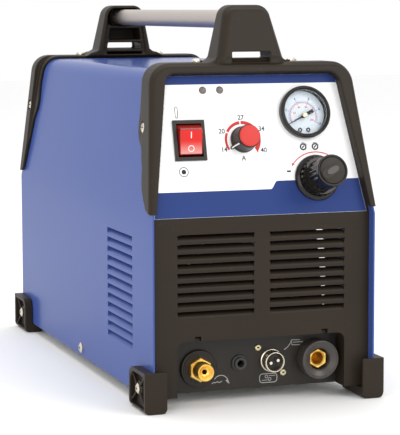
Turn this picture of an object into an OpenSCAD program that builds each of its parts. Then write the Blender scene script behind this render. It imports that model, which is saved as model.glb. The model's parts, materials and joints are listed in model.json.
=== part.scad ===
/* [Case] */
// Width of the cover
body_w = 179; // [170:1:190]
// Front to back depth of the cover
body_d = 410; // [380:1:430]
// Height of the flat top of the cover above the floor
body_top = 254.5; // [245:0.5:262]
// Height of the bottom edge of the cover
body_low = 8.5; // [6:0.5:12]
// Height where the sides start to taper and the panel starts to lean
crease_z = 144; // [138:1:150]
// Inward taper of the upper sides in degrees
taper = 7.7; // [6:0.1:9]
// Thickness of the cover sheet
sheet = 1.2; // [1:0.1:1.6]
// Backward lean of the control panel in degrees
lean = 15; // [12:0.5:18]
// Forward lean of the rear in degrees
rear_lean = 8.4; // [6:0.2:10]
// How far both panels sit inside the ends of the cover
inset = 8; // [7:0.5:9]

/* [Bezels and handle] */
// Thickness of the flange round the cover
flange = 2.6; // [2:0.1:3]
// How far a bezel face stands out from its panel
rim_face = 9.2; // [9:0.1:10]
// Radius of the handle tube
bar_r = 7.2; // [7:0.1:8]
// Height of the handle axis
bar_z = 292; // [288:1:296]
// Height of the top of the handle posts
post_top = 303; // [300:0.5:306]

/* [Controls] */
// Outer radius of the gauge ring
gauge_r = 20.4; // [19:0.1:21]
// Radius of the regulator knob
reg_knob_r = 12.2; // [11:0.1:13]
// Radius of the regulator panel nut
reg_nut_r = 17.7; // [17:0.1:19]
// Radius of the red cap of the current knob
cap_r = 8.4; // [8:0.1:9]
// Angle of the rocker either side of level
rocker_tilt = 16; // [12:1:17]

/* [Feet] */
// Width of a foot across the unit
foot_w = 17.8; // [16:0.2:20]
// Length of a foot along the unit
foot_l = 41.3; // [38:0.1:44]
// Height of a foot
foot_h = 31.5; // [30:0.5:34]

/* [Vents] */
// Vent louvres in each column of the front panel
vent_rows = 9; // [7:1:9]
// Louvres in each side of the cover
side_rows = 12; // [8:1:12]

/* [Hidden] */
// moves the case back so that the box round the whole unit is centred
shift_y = 6.265;
front_y = shift_y - body_d / 2;
rear_y = shift_y + body_d / 2;
half_w = body_w / 2;
foot_out = half_w + 7.5;
fan_z = 84;
sw_v = 59.6;
sw_u = -53;
knob_u = -10.2;
knob_v = 59.3;
gauge_u = 41.5;
gauge_v = 79;
needle_drop = 2.2;
reg_u = 46.8;
reg_v = 28;
torch_x = -46;
torch_z = 27.5;
torch_r = 6.9;
trig_x = 13.3;
trig_z = 30.2;
earth_x = 50.4;
earth_z = 30;
plate_y = front_y + 25;
front_lift = 5.2;
rear_lift = 3;
black = [0.16, 0.15, 0.14];
dark = [0.1, 0.1, 0.1];
blue = [0.3, 0.36, 0.62];
brass = [0.85, 0.65, 0.25];
nickel = [0.75, 0.75, 0.73];
green = [0.1, 0.35, 0.2];

// points of an arc, from angle a to angle b
function arc(x, y, r, a, b, n) =
  [for (i = [0 : n]) let (t = a + (b - a) * i / n) [x + r * cos(t), y + r * sin(t)]];
function mirrored(p) = [for (i = [len(p) - 1 : -1 : 0]) [-p[i][0], p[i][1]]];

// half outline of the case seen from the front, right side, going up
function half_outline(h, top, t, r, low) =
  concat(
    [[h, low], [h, crease_z]],
    arc(h - (r + (top - r - crease_z) * sin(t)) / cos(t), top - r, r, t, 90, 6)
  );
function outline(h, top, t, r, low) =
  concat(half_outline(h, top, t, r, low), mirrored(half_outline(h, top, t, r, low)));
function case_outline(g, low) = outline(half_w + g, body_top + g, taper, 13 + g, low);
function rim_outline(lift, r) = outline(half_w + 2.6, body_top + lift, 5.4, r, 100);

// extrude an x, z outline from y0 to y1
module along_y(y0, y1, p) {
  translate([0, y1, 0])
    rotate([90, 0, 0])
      linear_extrude(y1 - y0)
        polygon(p);
}

// extrude a y, z outline across the unit from x0 to x1
module across(x0, x1, p) {
  translate([x0, 0, 0])
    rotate([90, 0, 90])
      linear_extrude(x1 - x0)
        polygon(p);
}

// frame of the control panel: u across, v up the slope, w outwards
module on_panel(u = 0, v = 0, w = 0) {
  translate([0, front_y + inset, crease_z])
    rotate([90 - lean, 0, 0])
      translate([u, v, w])
        children();
}

// frame of the sloping rear panel, w outwards
module on_rear(u = 0, v = 0, w = 0) {
  translate([0, rear_y - inset, crease_z])
    rotate([90 - rear_lean, 0, 180])
      translate([u, v, w])
        children();
}

// frame of something facing the front, w forwards
module facing(x, y, z) {
  translate([x, y, z])
    rotate([90, 0, 0])
      children();
}

// frame on the sloping side at height z, w outwards; s is 1 or -1
module on_side(s, y, z) {
  translate([s * (half_w - (z - crease_z) * tan(taper)), y, z])
    rotate([0, s * (90 - taper), 0])
      children();
}

// y of the front cover edge and of the rear cover edge at height z, moved out by w
function fy(z, w) = front_y + inset + (z - crease_z) * tan(lean) - w / cos(lean);
function ry(z, w) = rear_y - inset - (z - crease_z) * tan(rear_lean) + w / cos(rear_lean);

module case_hull(g, low) {
  intersection() {
    along_y(front_y - 5, rear_y + 5, case_outline(g, low));
    across(-100, 100, [
      [front_y, 0], [front_y, crease_z], [fy(270, 7.73), 270],
      [ry(270, 7.91), 270], [rear_y, crease_z], [rear_y, 0]
    ]);
  }
}

// height of the lower edge of a side louvre
function side_louvre_z(k) = 122.7 - 7.5 * k;

module side_louvre_cut(k) {
  translate([-100, front_y + 52, side_louvre_z(k)])
    cube([200, 68, 4.8]);
}

// inward sloping blade of a side louvre, closed at both ends
module side_louvre_blade(s, k) {
  z = side_louvre_z(k);
  p = [[0.2, z - 0.3], [4.1, z + 3.1], [4.1, z + 4.1], [0.2, z + 0.6]];
  e = [[0.3, z - 0.1], [4, z + 3.4], [4, z + 4.6], [0.3, z + 4.9]];
  along_y(front_y + 51.5, front_y + 120.5, [for (q = p) [s * (half_w - q[0]), q[1]]]);
  for (y = [front_y + 51.4, front_y + 119.6])
    along_y(y, y + 1, [for (q = e) [s * (half_w - q[0]), q[1]]]);
}

module cover() {
  color(blue) {
    difference() {
      case_hull(0, body_low);
      along_y(front_y - 9, rear_y + 9, case_outline(-sheet, -5));
      for (k = [0 : side_rows - 1])
        side_louvre_cut(k);
      for (s = [-1, 1]) {
        translate([s * 80, front_y + 199, 15.8])
          rotate([0, s * 90, 0])
            cylinder(r = 2.2, h = 15);
        for (y = [front_y + 19.5, rear_y - 19.5])
          translate([s * 80, y, 16.5])
            rotate([0, s * 90, 0])
              cylinder(r = 2.2, h = 15);
        bezel_screw_places(s)
          translate([0, 0, -8])
            cylinder(r = 2.1, h = 14);
      }
    }
    for (s = [-1, 1])
      for (k = [0 : side_rows - 1])
        side_louvre_blade(s, k);
  }
}

// seats of the two screws in one side of the bezels, and of the two on top
module side_screw_places(s) {
  for (y = [front_y + 37.6, rear_y - 20])
    on_side(s, y, 211)
      translate([0, 0, flange])
        children();
}

module bezel_screw_places(s) {
  side_screw_places(s)
    children();
  translate([s * 38.6, front_y + 47, body_top + front_lift])
    children();
  translate([s * 38, rear_y - 27, body_top + rear_lift])
    children();
}

module base_tray() {
  color(nickel)
    difference() {
      union() {
        translate([-87.9, plate_y + 2.2, 9])
          cube([175.8, body_d - 37, 1.5]);
        translate([-87.9, plate_y + 2.2, 9])
          cube([175.8, 1.5, 6]);
        translate([-87.9, rear_y - 11.3, 9])
          cube([175.8, 1.5, 13]);
        for (s = [-1, 1]) {
          translate([s * 87.15 - 0.75, front_y + 11, 9])
            cube([1.5, body_d - 20.8, 17]);
          translate([s * 82.2 - 5.7, front_y + 11, 9])
            cube([11.4, 20, 1.5]);
          for (y = [front_y + 95, front_y + 330])
            translate([s * 70, y, 10])
              cylinder(r = 3.5, h = 14);
        }
      }
      for (s = [-1, 1])
        for (y = [front_y + 19.5, front_y + 199, rear_y - 19.5])
          translate([s * 80, y, y == front_y + 199 ? 15.8 : 16.5])
            rotate([0, s * 90, 0])
              cylinder(r = 2.2, h = 15);
      for (x = [-40 : 16 : 40])
        for (y = [front_y + 130 : 30 : front_y + 300])
          translate([x - 5, y, 8])
            cube([10, 16, 4]);
    }
}

// height of the lower edge of a vent louvre
function vent_z(k) = 126.8 - 7.25 * k;

// opening with sloping lower corners
module vent_cut(x, k) {
  half = [[28.4, 0], [30.2, 1.6], [30.9, 5.6]];
  translate([x, 0, vent_z(k)])
    along_y(front_y + 4, front_y + 12, concat(half, mirrored(half)));
}

// rounded blade that rises towards the back
module vent_blade(x, k) {
  p = [
    [8.1, -0.5], [8.1, 0.3], [8.3, 1.2], [8.9, 2.1], [10, 2.9], [11.5, 3.6],
    [14, 4.4], [14, 3.2], [11.9, 2.5], [10.7, 1.9], [9.8, 1], [9.4, -0.5]
  ];
  across(x - 31, x + 31, [for (q = p) [front_y + q[0], vent_z(k) + q[1]]]);
}

// the round-cornered opening of the connector recess
module recess_outline(g, low) {
  polygon(concat(
    [[68 + g, low]],
    arc(62, 45.5, 6 + g, 0, 90, 6),
    arc(-62, 45.5, 6 + g, 90, 180, 6),
    [[-68 - g, low]]
  ));
}

module front_panel() {
  color(black)
    union() {
      difference() {
        union() {
          intersection() {
            along_y(front_y - 5, front_y + 60, case_outline(-sheet - 0.3, 9));
            across(-90, 90, [
              [front_y + 8, 9], [front_y + 8, crease_z], [fy(270, 0), 270],
              [fy(270, -2.5), 270], [front_y + 10.5, crease_z], [front_y + 10.5, 9]
            ]);
          }
          translate([0, front_y + 24.9, 0])
            rotate([90, 0, 0])
              linear_extrude(16.9)
                recess_outline(2, 9);
        }
        translate([0, front_y + 26, 0])
          rotate([90, 0, 0])
            linear_extrude(30)
              recess_outline(0, 0);
        for (x = [-37, 37])
          for (k = [0 : vent_rows - 1])
            vent_cut(x, k);
        for (x = [-51.5, 51.5])
          translate([x - 2.5, front_y + 7, 51])
            cube([5, 5, 4]);
        panel_holes(-5);
      }
      for (x = [-37, 37])
        for (k = [0 : vent_rows - 1])
          vent_blade(x, k);
    }
}

module panel_holes(w) {
  on_panel(sw_u - 10.7, sw_v - 13.7, w)
    cube([21.4, 27.4, 20]);
  on_panel(knob_u, knob_v, w)
    cylinder(r = 3.9, h = 20);
  on_panel(gauge_u, gauge_v, w)
    cylinder(r = 18.9, h = 20);
  on_panel(reg_u, reg_v, w)
    cylinder(r = 13.8, h = 20);
  for (u = [-39, -25.3])
    on_panel(u, 98, w)
      cylinder(r = 2.6, h = 20);
}

label_half = [[85.8, 1], [70.9, 103], [70, 106], [66, 109.4]];

module control_label() {
  color([0.92, 0.93, 0.95])
    difference() {
      on_panel(0, 0, 0.05)
        linear_extrude(0.4)
          polygon(concat(label_half, mirrored(label_half)));
      panel_holes(-5);
    }
}

module connector_plate() {
  color(black)
    difference() {
      translate([-76, plate_y, 9.2])
        cube([152, 1.8, 46]);
      facing(torch_x, plate_y + 5, torch_z)
        cylinder(r = 7.1, h = 10);
      facing(-12.5, plate_y + 5, 29.5)
        cylinder(r = 4.4, h = 10);
      facing(trig_x, plate_y + 5, trig_z)
        cylinder(r = 8.2, h = 10);
      facing(earth_x, plate_y + 5, earth_z)
        cylinder(r = 10.1, h = 10);
      for (s = [-1, 1])
        facing(trig_x + s * 10.4, plate_y + 5, trig_z - s * 10.4)
          cylinder(r = 1.6, h = 10);
    }
}

module rear_panel() {
  color(black)
    difference() {
      intersection() {
        along_y(rear_y - 60, rear_y + 5, case_outline(-sheet - 0.3, 9));
        across(-90, 90, [
          [rear_y - 8, 9], [rear_y - 8, crease_z], [ry(270, 0), 270],
          [ry(270, -1.5), 270], [rear_y - 9.5, crease_z], [rear_y - 9.5, 9]
        ]);
      }
      facing(0, rear_y, fan_z)
        cylinder(r = 56, h = 20);
      for (x = [-52.5, 52.5])
        for (z = [-52.5, 52.5])
          facing(x, rear_y, fan_z + z)
            cylinder(r = 2.2, h = 20);
      on_rear(-50, 50, -5)
        cylinder(r = 8.2, h = 10);
      on_rear(50, 50, -5)
        cylinder(r = 6.7, h = 10);
      for (s = [-1, 1])
        bezel_screw_places(s)
          translate([0, 0, -12])
            cylinder(r = 2.4, h = 12);
    }
}

// outline of a handle post from the front, with flared base
function post_half(b, t, r) =
  concat(
    [[b + 14, body_top + 2], [b + 9, body_top + 5.2], [b + 4.5, body_top + 6.2], [b + 1.8, body_top + 8]],
    arc(t - r * 0.86, post_top - r, r, 10, 90, 6)
  );
function post_outline(b, t, r) = concat(post_half(b, t, r), mirrored(post_half(b, t, r)));

function pocket_half(b, t, r) =
  concat([[b, 258.2]], arc(t - r * 0.86, post_top - 2.5 - r, r, 10, 90, 6));
function post_pocket(b, t, r) = concat(pocket_half(b, t, r), mirrored(pocket_half(b, t, r)));

module collar(y0, y1) {
  translate([0, y1, bar_z])
    rotate([90, 0, 0])
      cylinder(r = bar_r + 2.4, h = y1 - y0);
}

module bar_bore(y0, y1) {
  translate([0, y1, bar_z])
    rotate([90, 0, 0])
      cylinder(r = bar_r + 0.08, h = y1 - y0);
}

module front_bezel() {
  color(black)
    difference() {
      union() {
        intersection() {
          along_y(front_y - 5, front_y + 60, rim_outline(front_lift, 17));
          front_flange_region();
          across(-100, 100, [
            [fy(140, 12), 140], [fy(140, -13), 140], [fy(275, -13), 275], [fy(275, 12), 275]
          ]);
        }
        intersection() {
          along_y(front_y - 5, front_y + 70, case_outline(flange, 100));
          front_flange_region();
        }
        intersection() {
          along_y(front_y, front_y + 70, post_outline(25, 18.2, 10));
          across(-60, 60, [
            [fy(253, rim_face), 253], [front_y + 59, 253], [front_y + 59, 304], [fy(304, rim_face), 304]
          ]);
        }
      }
      difference() {
        case_hull(0.1, 0);
        along_y(front_y - 9, rear_y + 9, case_outline(-sheet - 0.15, -5));
      }
      intersection() {
        along_y(front_y - 9, front_y + 90, case_outline(-sheet - 0.15, -5));
        across(-100, 100, [
          [fy(100, 0.5), 100], [front_y + 80, 100], [front_y + 80, 270], [fy(270, 0.5), 270]
        ]);
      }
      bezel_window();
      intersection() {
        along_y(front_y, front_y + 70, post_pocket(22.4, 15.9, 7.6));
        across(-60, 60, [
          [fy(255, rim_face - 3), 255], [front_y + 70, 255],
          [front_y + 70, 310], [fy(310, rim_face - 3), 310]
        ]);
        difference() {
          translate([-60, front_y, 255])
            cube([120, 80, 60]);
          post_ribs(front_y + 20, front_y + 57);
          collar(front_y + 30, front_y + 53);
        }
      }
      bar_bore(front_y + 43.4, front_y + 80);
      translate([-15.5, front_y, 262.9])
        cube([31, 70, 4.6]);
      for (s = [-1, 1]) {
        bezel_screw_places(s)
          translate([0, 0, -9])
            cylinder(r = 2.1, h = 12);
        bezel_screw_places(s)
          cylinder(r = 4.6, h = 10);
      }
    }
}

// the window of the front bezel, wider at the bottom
module bezel_window() {
  on_panel(0, 0, 0)
    linear_extrude(20)
      polygon(concat(
        [[86.2, -10], [86.2, 1]],
        arc(61.8, 100.8, 9, 8, 90, 6),
        arc(-61.8, 100.8, 9, 90, 172, 6),
        [[-86.2, 1], [-86.2, -10]]
      ));
}

// two sloping ribs and three shelves inside a post
module post_ribs(y0, y1) {
  for (s = [-1, 1])
    along_y(y0, y1, [[s * 13.6, 285], [s * 15.8, 285], [s * 20, 255], [s * 17.8, 255]]);
  for (z = [260.4, 269.2, 282])
    translate([-18, y0, z])
      cube([36, y1 - y0, 2.2]);
}

// side view of the flanges round the case, with their wavy inner edges
front_flange_edge = [
  [7, 149.4], [12, 151.2], [19, 157], [25.5, 165], [28.6, 173], [29.6, 181.5],
  [34, 189.5], [45, 197.5], [52.5, 203], [55, 209], [55.6, 215], [55.6, 221],
  [57.4, 229], [59.4, 237], [60, 246], [58, 252], [58, 268]
];
rear_flange_edge = [
  [401, 149.6], [397, 153], [391.6, 169], [386.2, 184], [381.5, 199], [374, 207.5], [371, 215],
  [372.5, 224], [373, 232], [370.5, 241], [367.5, 250], [367.5, 268]
];

module front_flange_region() {
  across(-100, 100, concat(
    [[fy(268, rim_face), 268], [fy(149, rim_face), 149]],
    [for (p = front_flange_edge) [front_y + p[0], p[1]]]
  ));
}

module rear_flange_region() {
  across(-100, 100, concat(
    [[ry(268, rim_face), 268], [ry(149, rim_face), 149]],
    [for (p = rear_flange_edge) [front_y + p[0], p[1]]]
  ));
}

module rear_bezel() {
  color(black)
    difference() {
      union() {
        intersection() {
          along_y(rear_y - 60, rear_y + 5, rim_outline(rear_lift, 15));
          rear_flange_region();
          across(-100, 100, [
            [ry(140, 12), 140], [ry(140, -8), 140], [ry(275, -8), 275], [ry(275, 12), 275]
          ]);
        }
        intersection() {
          along_y(rear_y - 70, rear_y + 5, case_outline(flange, 100));
          rear_flange_region();
        }
        intersection() {
          along_y(rear_y - 70, rear_y + 5, post_outline(23, 17.2, 10));
          across(-60, 60, [
            [ry(253, rim_face), 253], [front_y + 365, 253], [front_y + 365, 304], [ry(304, rim_face), 304]
          ]);
        }
      }
      difference() {
        case_hull(0.1, 0);
        along_y(front_y - 9, rear_y + 9, case_outline(-sheet - 0.15, -5));
      }
      intersection() {
        along_y(rear_y - 90, rear_y + 9, case_outline(-sheet - 0.15, -5));
        across(-100, 100, [
          [ry(100, 0.5), 100], [rear_y - 80, 100], [rear_y - 80, 270], [ry(270, 0.5), 270]
        ]);
      }
      on_rear(0, 0, 0)
        linear_extrude(20)
          polygon(concat(
            [[86.2, -10], [86.2, 1]],
            arc(61.8, 98.8, 9, 8, 90, 6),
            arc(-61.8, 98.8, 9, 90, 172, 6),
            [[-86.2, 1], [-86.2, -10]]
          ));
      intersection() {
        along_y(rear_y - 70, rear_y, post_pocket(20.4, 14.9, 7.6));
        across(-60, 60, [
          [ry(255, rim_face - 3), 255], [front_y + 360, 255],
          [front_y + 360, 310], [ry(310, rim_face - 3), 310]
        ]);
        difference() {
          translate([-60, rear_y - 60, 255])
            cube([120, 80, 60]);
          post_ribs(front_y + 366.5, rear_y);
          collar(front_y + 383.6, rear_y);
        }
      }
      bar_bore(front_y + 350, front_y + 387.7);
      translate([-15, front_y + 355, 263.6])
        cube([30, 70, 4.8]);
      for (s = [-1, 1]) {
        bezel_screw_places(s)
          translate([0, 0, -9])
            cylinder(r = 2.1, h = 12);
        bezel_screw_places(s)
          cylinder(r = 4.6, h = 10);
      }
    }
}

module handle_bar() {
  color([0.66, 0.63, 0.61])
    translate([0, front_y + 387.5, bar_z])
      rotate([90, 0, 0])
        difference() {
          cylinder(r = bar_r, h = 343.8);
          translate([0, 0, -1])
            cylinder(r = bar_r - 1.6, h = 346);
        }
}

// right-hand front foot; mirrored for the others
module foot_shape() {
  x0 = foot_out - foot_w;
  y0 = front_y - 2.6;
  difference() {
    intersection() {
      along_y(y0, y0 + foot_l, concat(
        [[x0, foot_h], [x0, 4]],
        arc(x0 + 4, 4, 4, 180, 270, 5),
        arc(foot_out - 4.5, 4.5, 4.5, 270, 360, 5),
        [[foot_out, foot_h]]
      ));
      across(x0 - 1, foot_out + 1, concat(
        [[y0, foot_h], [y0, 0], [y0 + foot_l, 0]],
        arc(y0 + foot_l - 9, foot_h - 9, 9, 0, 90, 6)
      ));
    }
    translate([0, front_y - 0.1, body_low - 0.1])
      cube([half_w + 0.1, 60, 60]);
    difference() {
      translate([foot_out - 4.6, y0 + 3.2, 3.2])
        cube([10, foot_l - 6.4, foot_h - 6.4]);
      translate([foot_out - 10, front_y + 19.5, 16.5])
        rotate([0, 90, 0])
          cylinder(r = 6, h = 7.4);
      for (a = [35, -35, 145, 215])
        translate([foot_out - 10, front_y + 19.5, 16.5])
          rotate([a, 0, 0])
            translate([0, 4, -0.8])
              cube([8.8, 24, 1.6]);
      translate([foot_out - 10, y0 + foot_l - 12.5, foot_h - 12.5])
        rotate([0, 90, 0])
          difference() {
            translate([-12.5, -12.5, 0])
              cube([25, 25, 9.8]);
            cylinder(r = 9.3, h = 30, center = true);
            translate([-20, -40, -1])
              cube([40, 40, 20]);
            translate([0, -20, -1])
              cube([40, 40, 20]);
          }
    }
    translate([half_w - 5, front_y + 19.5, 16.5])
      rotate([0, 90, 0])
        cylinder(r = 2.25, h = 20);
  }
}

module foot_front_right() {
  color(black)
    foot_shape();
}

module foot_front_left() {
  color(black)
    mirror([1, 0, 0])
      foot_shape();
}

module foot_rear_right() {
  color(black)
    translate([0, 2 * shift_y, 0])
      mirror([0, 1, 0])
        foot_shape();
}

module foot_rear_left() {
  color(black)
    translate([0, 2 * shift_y, 0])
      mirror([1, 0, 0])
        mirror([0, 1, 0])
          foot_shape();
}

// pan-head screw, head on the w side of zero, cross recess
module screw(head_r, head_h, shank_r, length) {
  difference() {
    union() {
      cylinder(r = head_r, h = head_h * 0.55);
      translate([0, 0, head_h * 0.54])
        cylinder(r1 = head_r, r2 = head_r * 0.62, h = head_h * 0.46);
      translate([0, 0, -length])
        cylinder(r = shank_r, h = length + 0.1);
    }
    for (a = [0, 90])
      rotate([0, 0, a])
        translate([-head_r * 0.55, -head_r * 0.11, head_h * 0.45])
          cube([head_r * 1.1, head_r * 0.22, head_h]);
  }
}

module foot_screws() {
  color(nickel)
    for (s = [-1, 1])
      for (y = [front_y + 19.5, rear_y - 19.5])
        translate([s * (foot_out - 2.55), y, 16.5])
          rotate([0, s * 90, 0])
            screw(4, 2.4, 2, 10);
}

module bezel_screws() {
  color(nickel)
    for (s = [-1, 1])
      bezel_screw_places(s)
        translate([0, 0, 0.05])
          screw(4.2, 2.5, 1.9, 8);
}

module cover_screws() {
  color(nickel)
    for (s = [-1, 1])
      translate([s * (half_w + 0.05), front_y + 199, 15.8])
        rotate([0, s * 90, 0])
          screw(4.4, 2.4, 2, 8);
}

module switch_housing() {
  color(dark)
    on_panel(sw_u, sw_v, 0.5)
      difference() {
        union() {
          translate([-12.5, -15.5, 0])
            cube([25, 31, 1.9]);
          translate([-10.5, -13.5, -24])
            cube([21, 27, 24.5]);
          for (v = [-8, 0, 8])
            for (u = [-5, 5])
              translate([u - 3.1, v - 0.4, -33])
                cube([6.2, 0.8, 10]);
        }
        translate([-9.9, -12.7, -15])
          cube([19.8, 25.4, 25]);
        translate([-12, 0, -1.5])
          rotate([0, 90, 0])
            cylinder(r = 1.45, h = 24);
      }
}

// rocker turned about its pins so that the lower end is pressed in
module switch_rocker() {
  color([0.75, 0.08, 0.06])
    on_panel(sw_u, sw_v, -1)
      rotate([rocker_tilt, 0, 0])
        union() {
          rotate([90, 0, 90])
            translate([0, 0, -9.6])
              linear_extrude(19.2)
                polygon([
                  [-9.4, 6.6], [-4.7, 6.2], [0, 6.1], [4.7, 6.2], [9.4, 6.6],
                  [12.1, -0.8], [8.5, -3.5], [3, -5], [-3, -5], [-8.5, -3.5], [-12.1, -0.8]
                ]);
          rotate([0, 90, 0])
            translate([0, 0, -10.4])
              cylinder(r = 1.4, h = 20.8);
        }
}

module knob_body() {
  color(dark)
    on_panel(knob_u, knob_v, 0)
      difference() {
        union() {
          translate([0, 0, 1.2])
            cylinder(r1 = 10.2, r2 = 9.6, h = 2.6);
          translate([0, 0, 3.7])
            cylinder(r1 = 9.4, r2 = 8.9, h = 11.7);
          rotate([0, 0, 213])
            translate([0, -1.6, 1.2])
              cube([13.2, 3.2, 2.4]);
          rotate([0, 0, 213])
            translate([0, -1.2, 1.2])
              cube([9.8, 2.4, 13.3]);
        }
        translate([0, 0, -1])
          cylinder(r = 3.03, h = 13);
        translate([0, 0, 0])
          cylinder(r = 6.9, h = 4.2);
      }
}

module knob_cap() {
  color([0.85, 0.16, 0.13])
    on_panel(knob_u, knob_v, 15.42)
      union() {
        cylinder(r = cap_r + 0.2, h = 1.6);
        translate([0, 0, 1.5])
          cylinder(r1 = cap_r + 0.2, r2 = cap_r - 0.6, h = 0.8);
      }
}

module potentiometer() {
  color(nickel)
    on_panel(knob_u, knob_v, 0)
      difference() {
        union() {
          translate([0, 0, -14])
            cylinder(r = 8.5, h = 11.3);
          translate([0, 0, -3])
            cylinder(r = 3.75, h = 6.6);
          translate([0, 0, 0.5])
            cylinder(r = 6, h = 2, $fn = 6);
        }
        translate([0, 0, -12])
          cylinder(r = 3.06, h = 20);
      }
}

module pot_shaft() {
  color(nickel)
    on_panel(knob_u, knob_v, -11)
      cylinder(r = 3, h = 21.8);
}

module gauge_case() {
  color(dark)
    on_panel(gauge_u, gauge_v, 0)
      difference() {
        union() {
          translate([0, 0, -24])
            cylinder(r = 18.6, h = 25);
          translate([0, 0, 0.5])
            cylinder(r = gauge_r, h = 4.5);
          translate([0, 0, 4.9])
            cylinder(r1 = gauge_r, r2 = gauge_r - 1.4, h = 1.4);
          translate([0, 0, -34])
            cylinder(r = 4.8, h = 12);
          translate([0, 0, -28])
            cylinder(r = 7, h = 5, $fn = 6);
        }
        translate([0, 0, -2.4])
          cylinder(r = gauge_r - 3.1, h = 12);
        translate([0, -needle_drop, -14])
          cylinder(r = 1.06, h = 14);
        translate([0, 0, -36])
          cylinder(r = 2, h = 16);
      }
}

module gauge_dial() {
  color([0.9, 0.94, 0.98])
    on_panel(gauge_u, gauge_v, -2.35)
      difference() {
        cylinder(r = gauge_r - 3.2, h = 1.2);
        translate([0, -needle_drop, -1])
          cylinder(r = 1.5, h = 4);
      }
}

module gauge_needle() {
  color(dark)
    on_panel(gauge_u, gauge_v - needle_drop, 1.6)
      union() {
        translate([0, 0, -13.6])
          cylinder(r = 1, h = 14.1);
        translate([0, 0, -0.4])
          cylinder(r = 2.1, h = 1.6);
        rotate([0, 0, 206])
          translate([0, 0, -0.2])
            linear_extrude(0.7)
              polygon([
                [-8.2, -1.5], [-2, -1.2], [0, -0.8], [14, -0.25],
                [14, 0.25], [0, 0.8], [-2, 1.2], [-8.2, 1.5]
              ]);
      }
}

module gauge_lens() {
  color([0.85, 0.9, 0.95, 0.4])
    on_panel(gauge_u, gauge_v, 4.6)
      cylinder(r = gauge_r - 3.15, h = 1.4);
}

module led_lenses() {
  color([0.5, 0.48, 0.46])
    for (u = [-39, -25.3])
      on_panel(u, 98, 0)
        union() {
          translate([0, 0, 0.5])
            cylinder(r = 2.9, h = 0.8);
          translate([0, 0, -4])
            cylinder(r = 2.5, h = 4.8);
        }
}

module regulator_body() {
  color(dark)
    on_panel(reg_u, reg_v, 0)
      difference() {
        union() {
          translate([0, 0, -42])
            cylinder(r = 15.5, h = 39.2);
          translate([0, 0, -3])
            cylinder(r = 13.6, h = 8);
          translate([0, 0, 4.9])
            cylinder(r = 14.4, h = 6.6);
          translate([0, 0, 11.4])
            cylinder(r = 9.2, h = 8);
          translate([-22, 0, -30])
            rotate([0, 90, 0])
              cylinder(r = 6.5, h = 44);
          for (a = [0 : 15 : 345])
            rotate([0, 0, a])
              translate([13.9, -0.9, 4.9])
                cube([1.3, 1.8, 5.8]);
        }
        translate([0, 0, -24])
          cylinder(r = 4.05, h = 50);
        translate([-23, 0, -30])
          rotate([0, 90, 0])
            cylinder(r = 3.4, h = 12);
        translate([11, 0, -30])
          rotate([0, 90, 0])
            cylinder(r = 3.4, h = 12);
      }
}

module regulator_panel_nut() {
  color(dark)
    on_panel(reg_u, reg_v, 0.5)
      difference() {
        union() {
          cylinder(r = reg_nut_r, h = 3);
          translate([0, 0, 2.9])
            cylinder(r1 = reg_nut_r, r2 = reg_nut_r - 1.5, h = 1.3);
        }
        translate([0, 0, -1])
          cylinder(r = 13.65, h = 8);
      }
}

module regulator_screw() {
  color(nickel)
    on_panel(reg_u, reg_v, -20)
      difference() {
        cylinder(r = 4, h = 44);
        translate([2.8, -5, 30])
          cube([5, 10, 20]);
      }
}

module regulator_knob() {
  color(dark)
    on_panel(reg_u, reg_v, 0)
      difference() {
        union() {
          translate([0, 0, 11.9])
            cylinder(r = reg_knob_r, h = 21.4);
          translate([0, 0, 33.2])
            cylinder(r1 = reg_knob_r, r2 = reg_knob_r - 0.9, h = 0.9);
          for (a = [0 : 15 : 345])
            rotate([0, 0, a])
              translate([reg_knob_r - 0.5, -0.7, 13.5])
                cube([1.1, 1.4, 14.5]);
          rotate([0, 0, 27])
            translate([-9.5, -3.8, 34])
              cube([19, 7.6, 0.9]);
        }
        translate([0, 0, 11])
          cylinder(r = 9.5, h = 12.5);
        difference() {
          translate([0, 0, 20])
            cylinder(r = 4.05, h = 11);
          translate([2.85, -5, 22])
            cube([5, 10, 12]);
        }
      }
}

module torch_flange() {
  color(dark)
    facing(torch_x, front_y, torch_z)
      difference() {
        union() {
          translate([0, 0, -24.95])
            cylinder(r = 14.5, h = 3);
          translate([0, 0, -32])
            cylinder(r = 11, h = 5.1);
          translate([0, 0, -28])
            cylinder(r = 7, h = 4);
        }
        translate([0, 0, -40])
          cylinder(r = 5.05, h = 30);
      }
}

module torch_fitting() {
  color(brass)
    facing(torch_x, front_y, torch_z)
      difference() {
        union() {
          translate([0, 0, -21.9])
            rotate([0, 0, 14])
              cylinder(r = 9.6, h = 4.6, $fn = 6);
          translate([0, 0, -17.4])
            cylinder(r = torch_r, h = 11);
          translate([0, 0, -6.5])
            cylinder(r1 = torch_r, r2 = torch_r - 0.6, h = 0.9);
          translate([0, 0, -44])
            cylinder(r = 5, h = 22.2);
          translate([0, 0, -37])
            cylinder(r = 8.4, h = 4.9, $fn = 6);
        }
        translate([0, 0, -50])
          cylinder(r = 2, h = 60);
        translate([0, 0, -11.6])
          cylinder(r1 = 2, r2 = 5.7, h = 6.2);
      }
}

module pilot_grommet() {
  color(dark)
    facing(-12.5, front_y, 29.5)
      difference() {
        union() {
          translate([0, 0, -24.95])
            cylinder(r = 6.5, h = 2);
          translate([0, 0, -27])
            cylinder(r = 4.3, h = 3);
          translate([0, 0, -23])
            cylinder(r = 4.9, h = 2.5);
          translate([0, 0, -29])
            cylinder(r = 6, h = 2.15);
        }
        translate([0, 0, -30])
          cylinder(r = 2.65, h = 10);
      }
}

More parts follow.
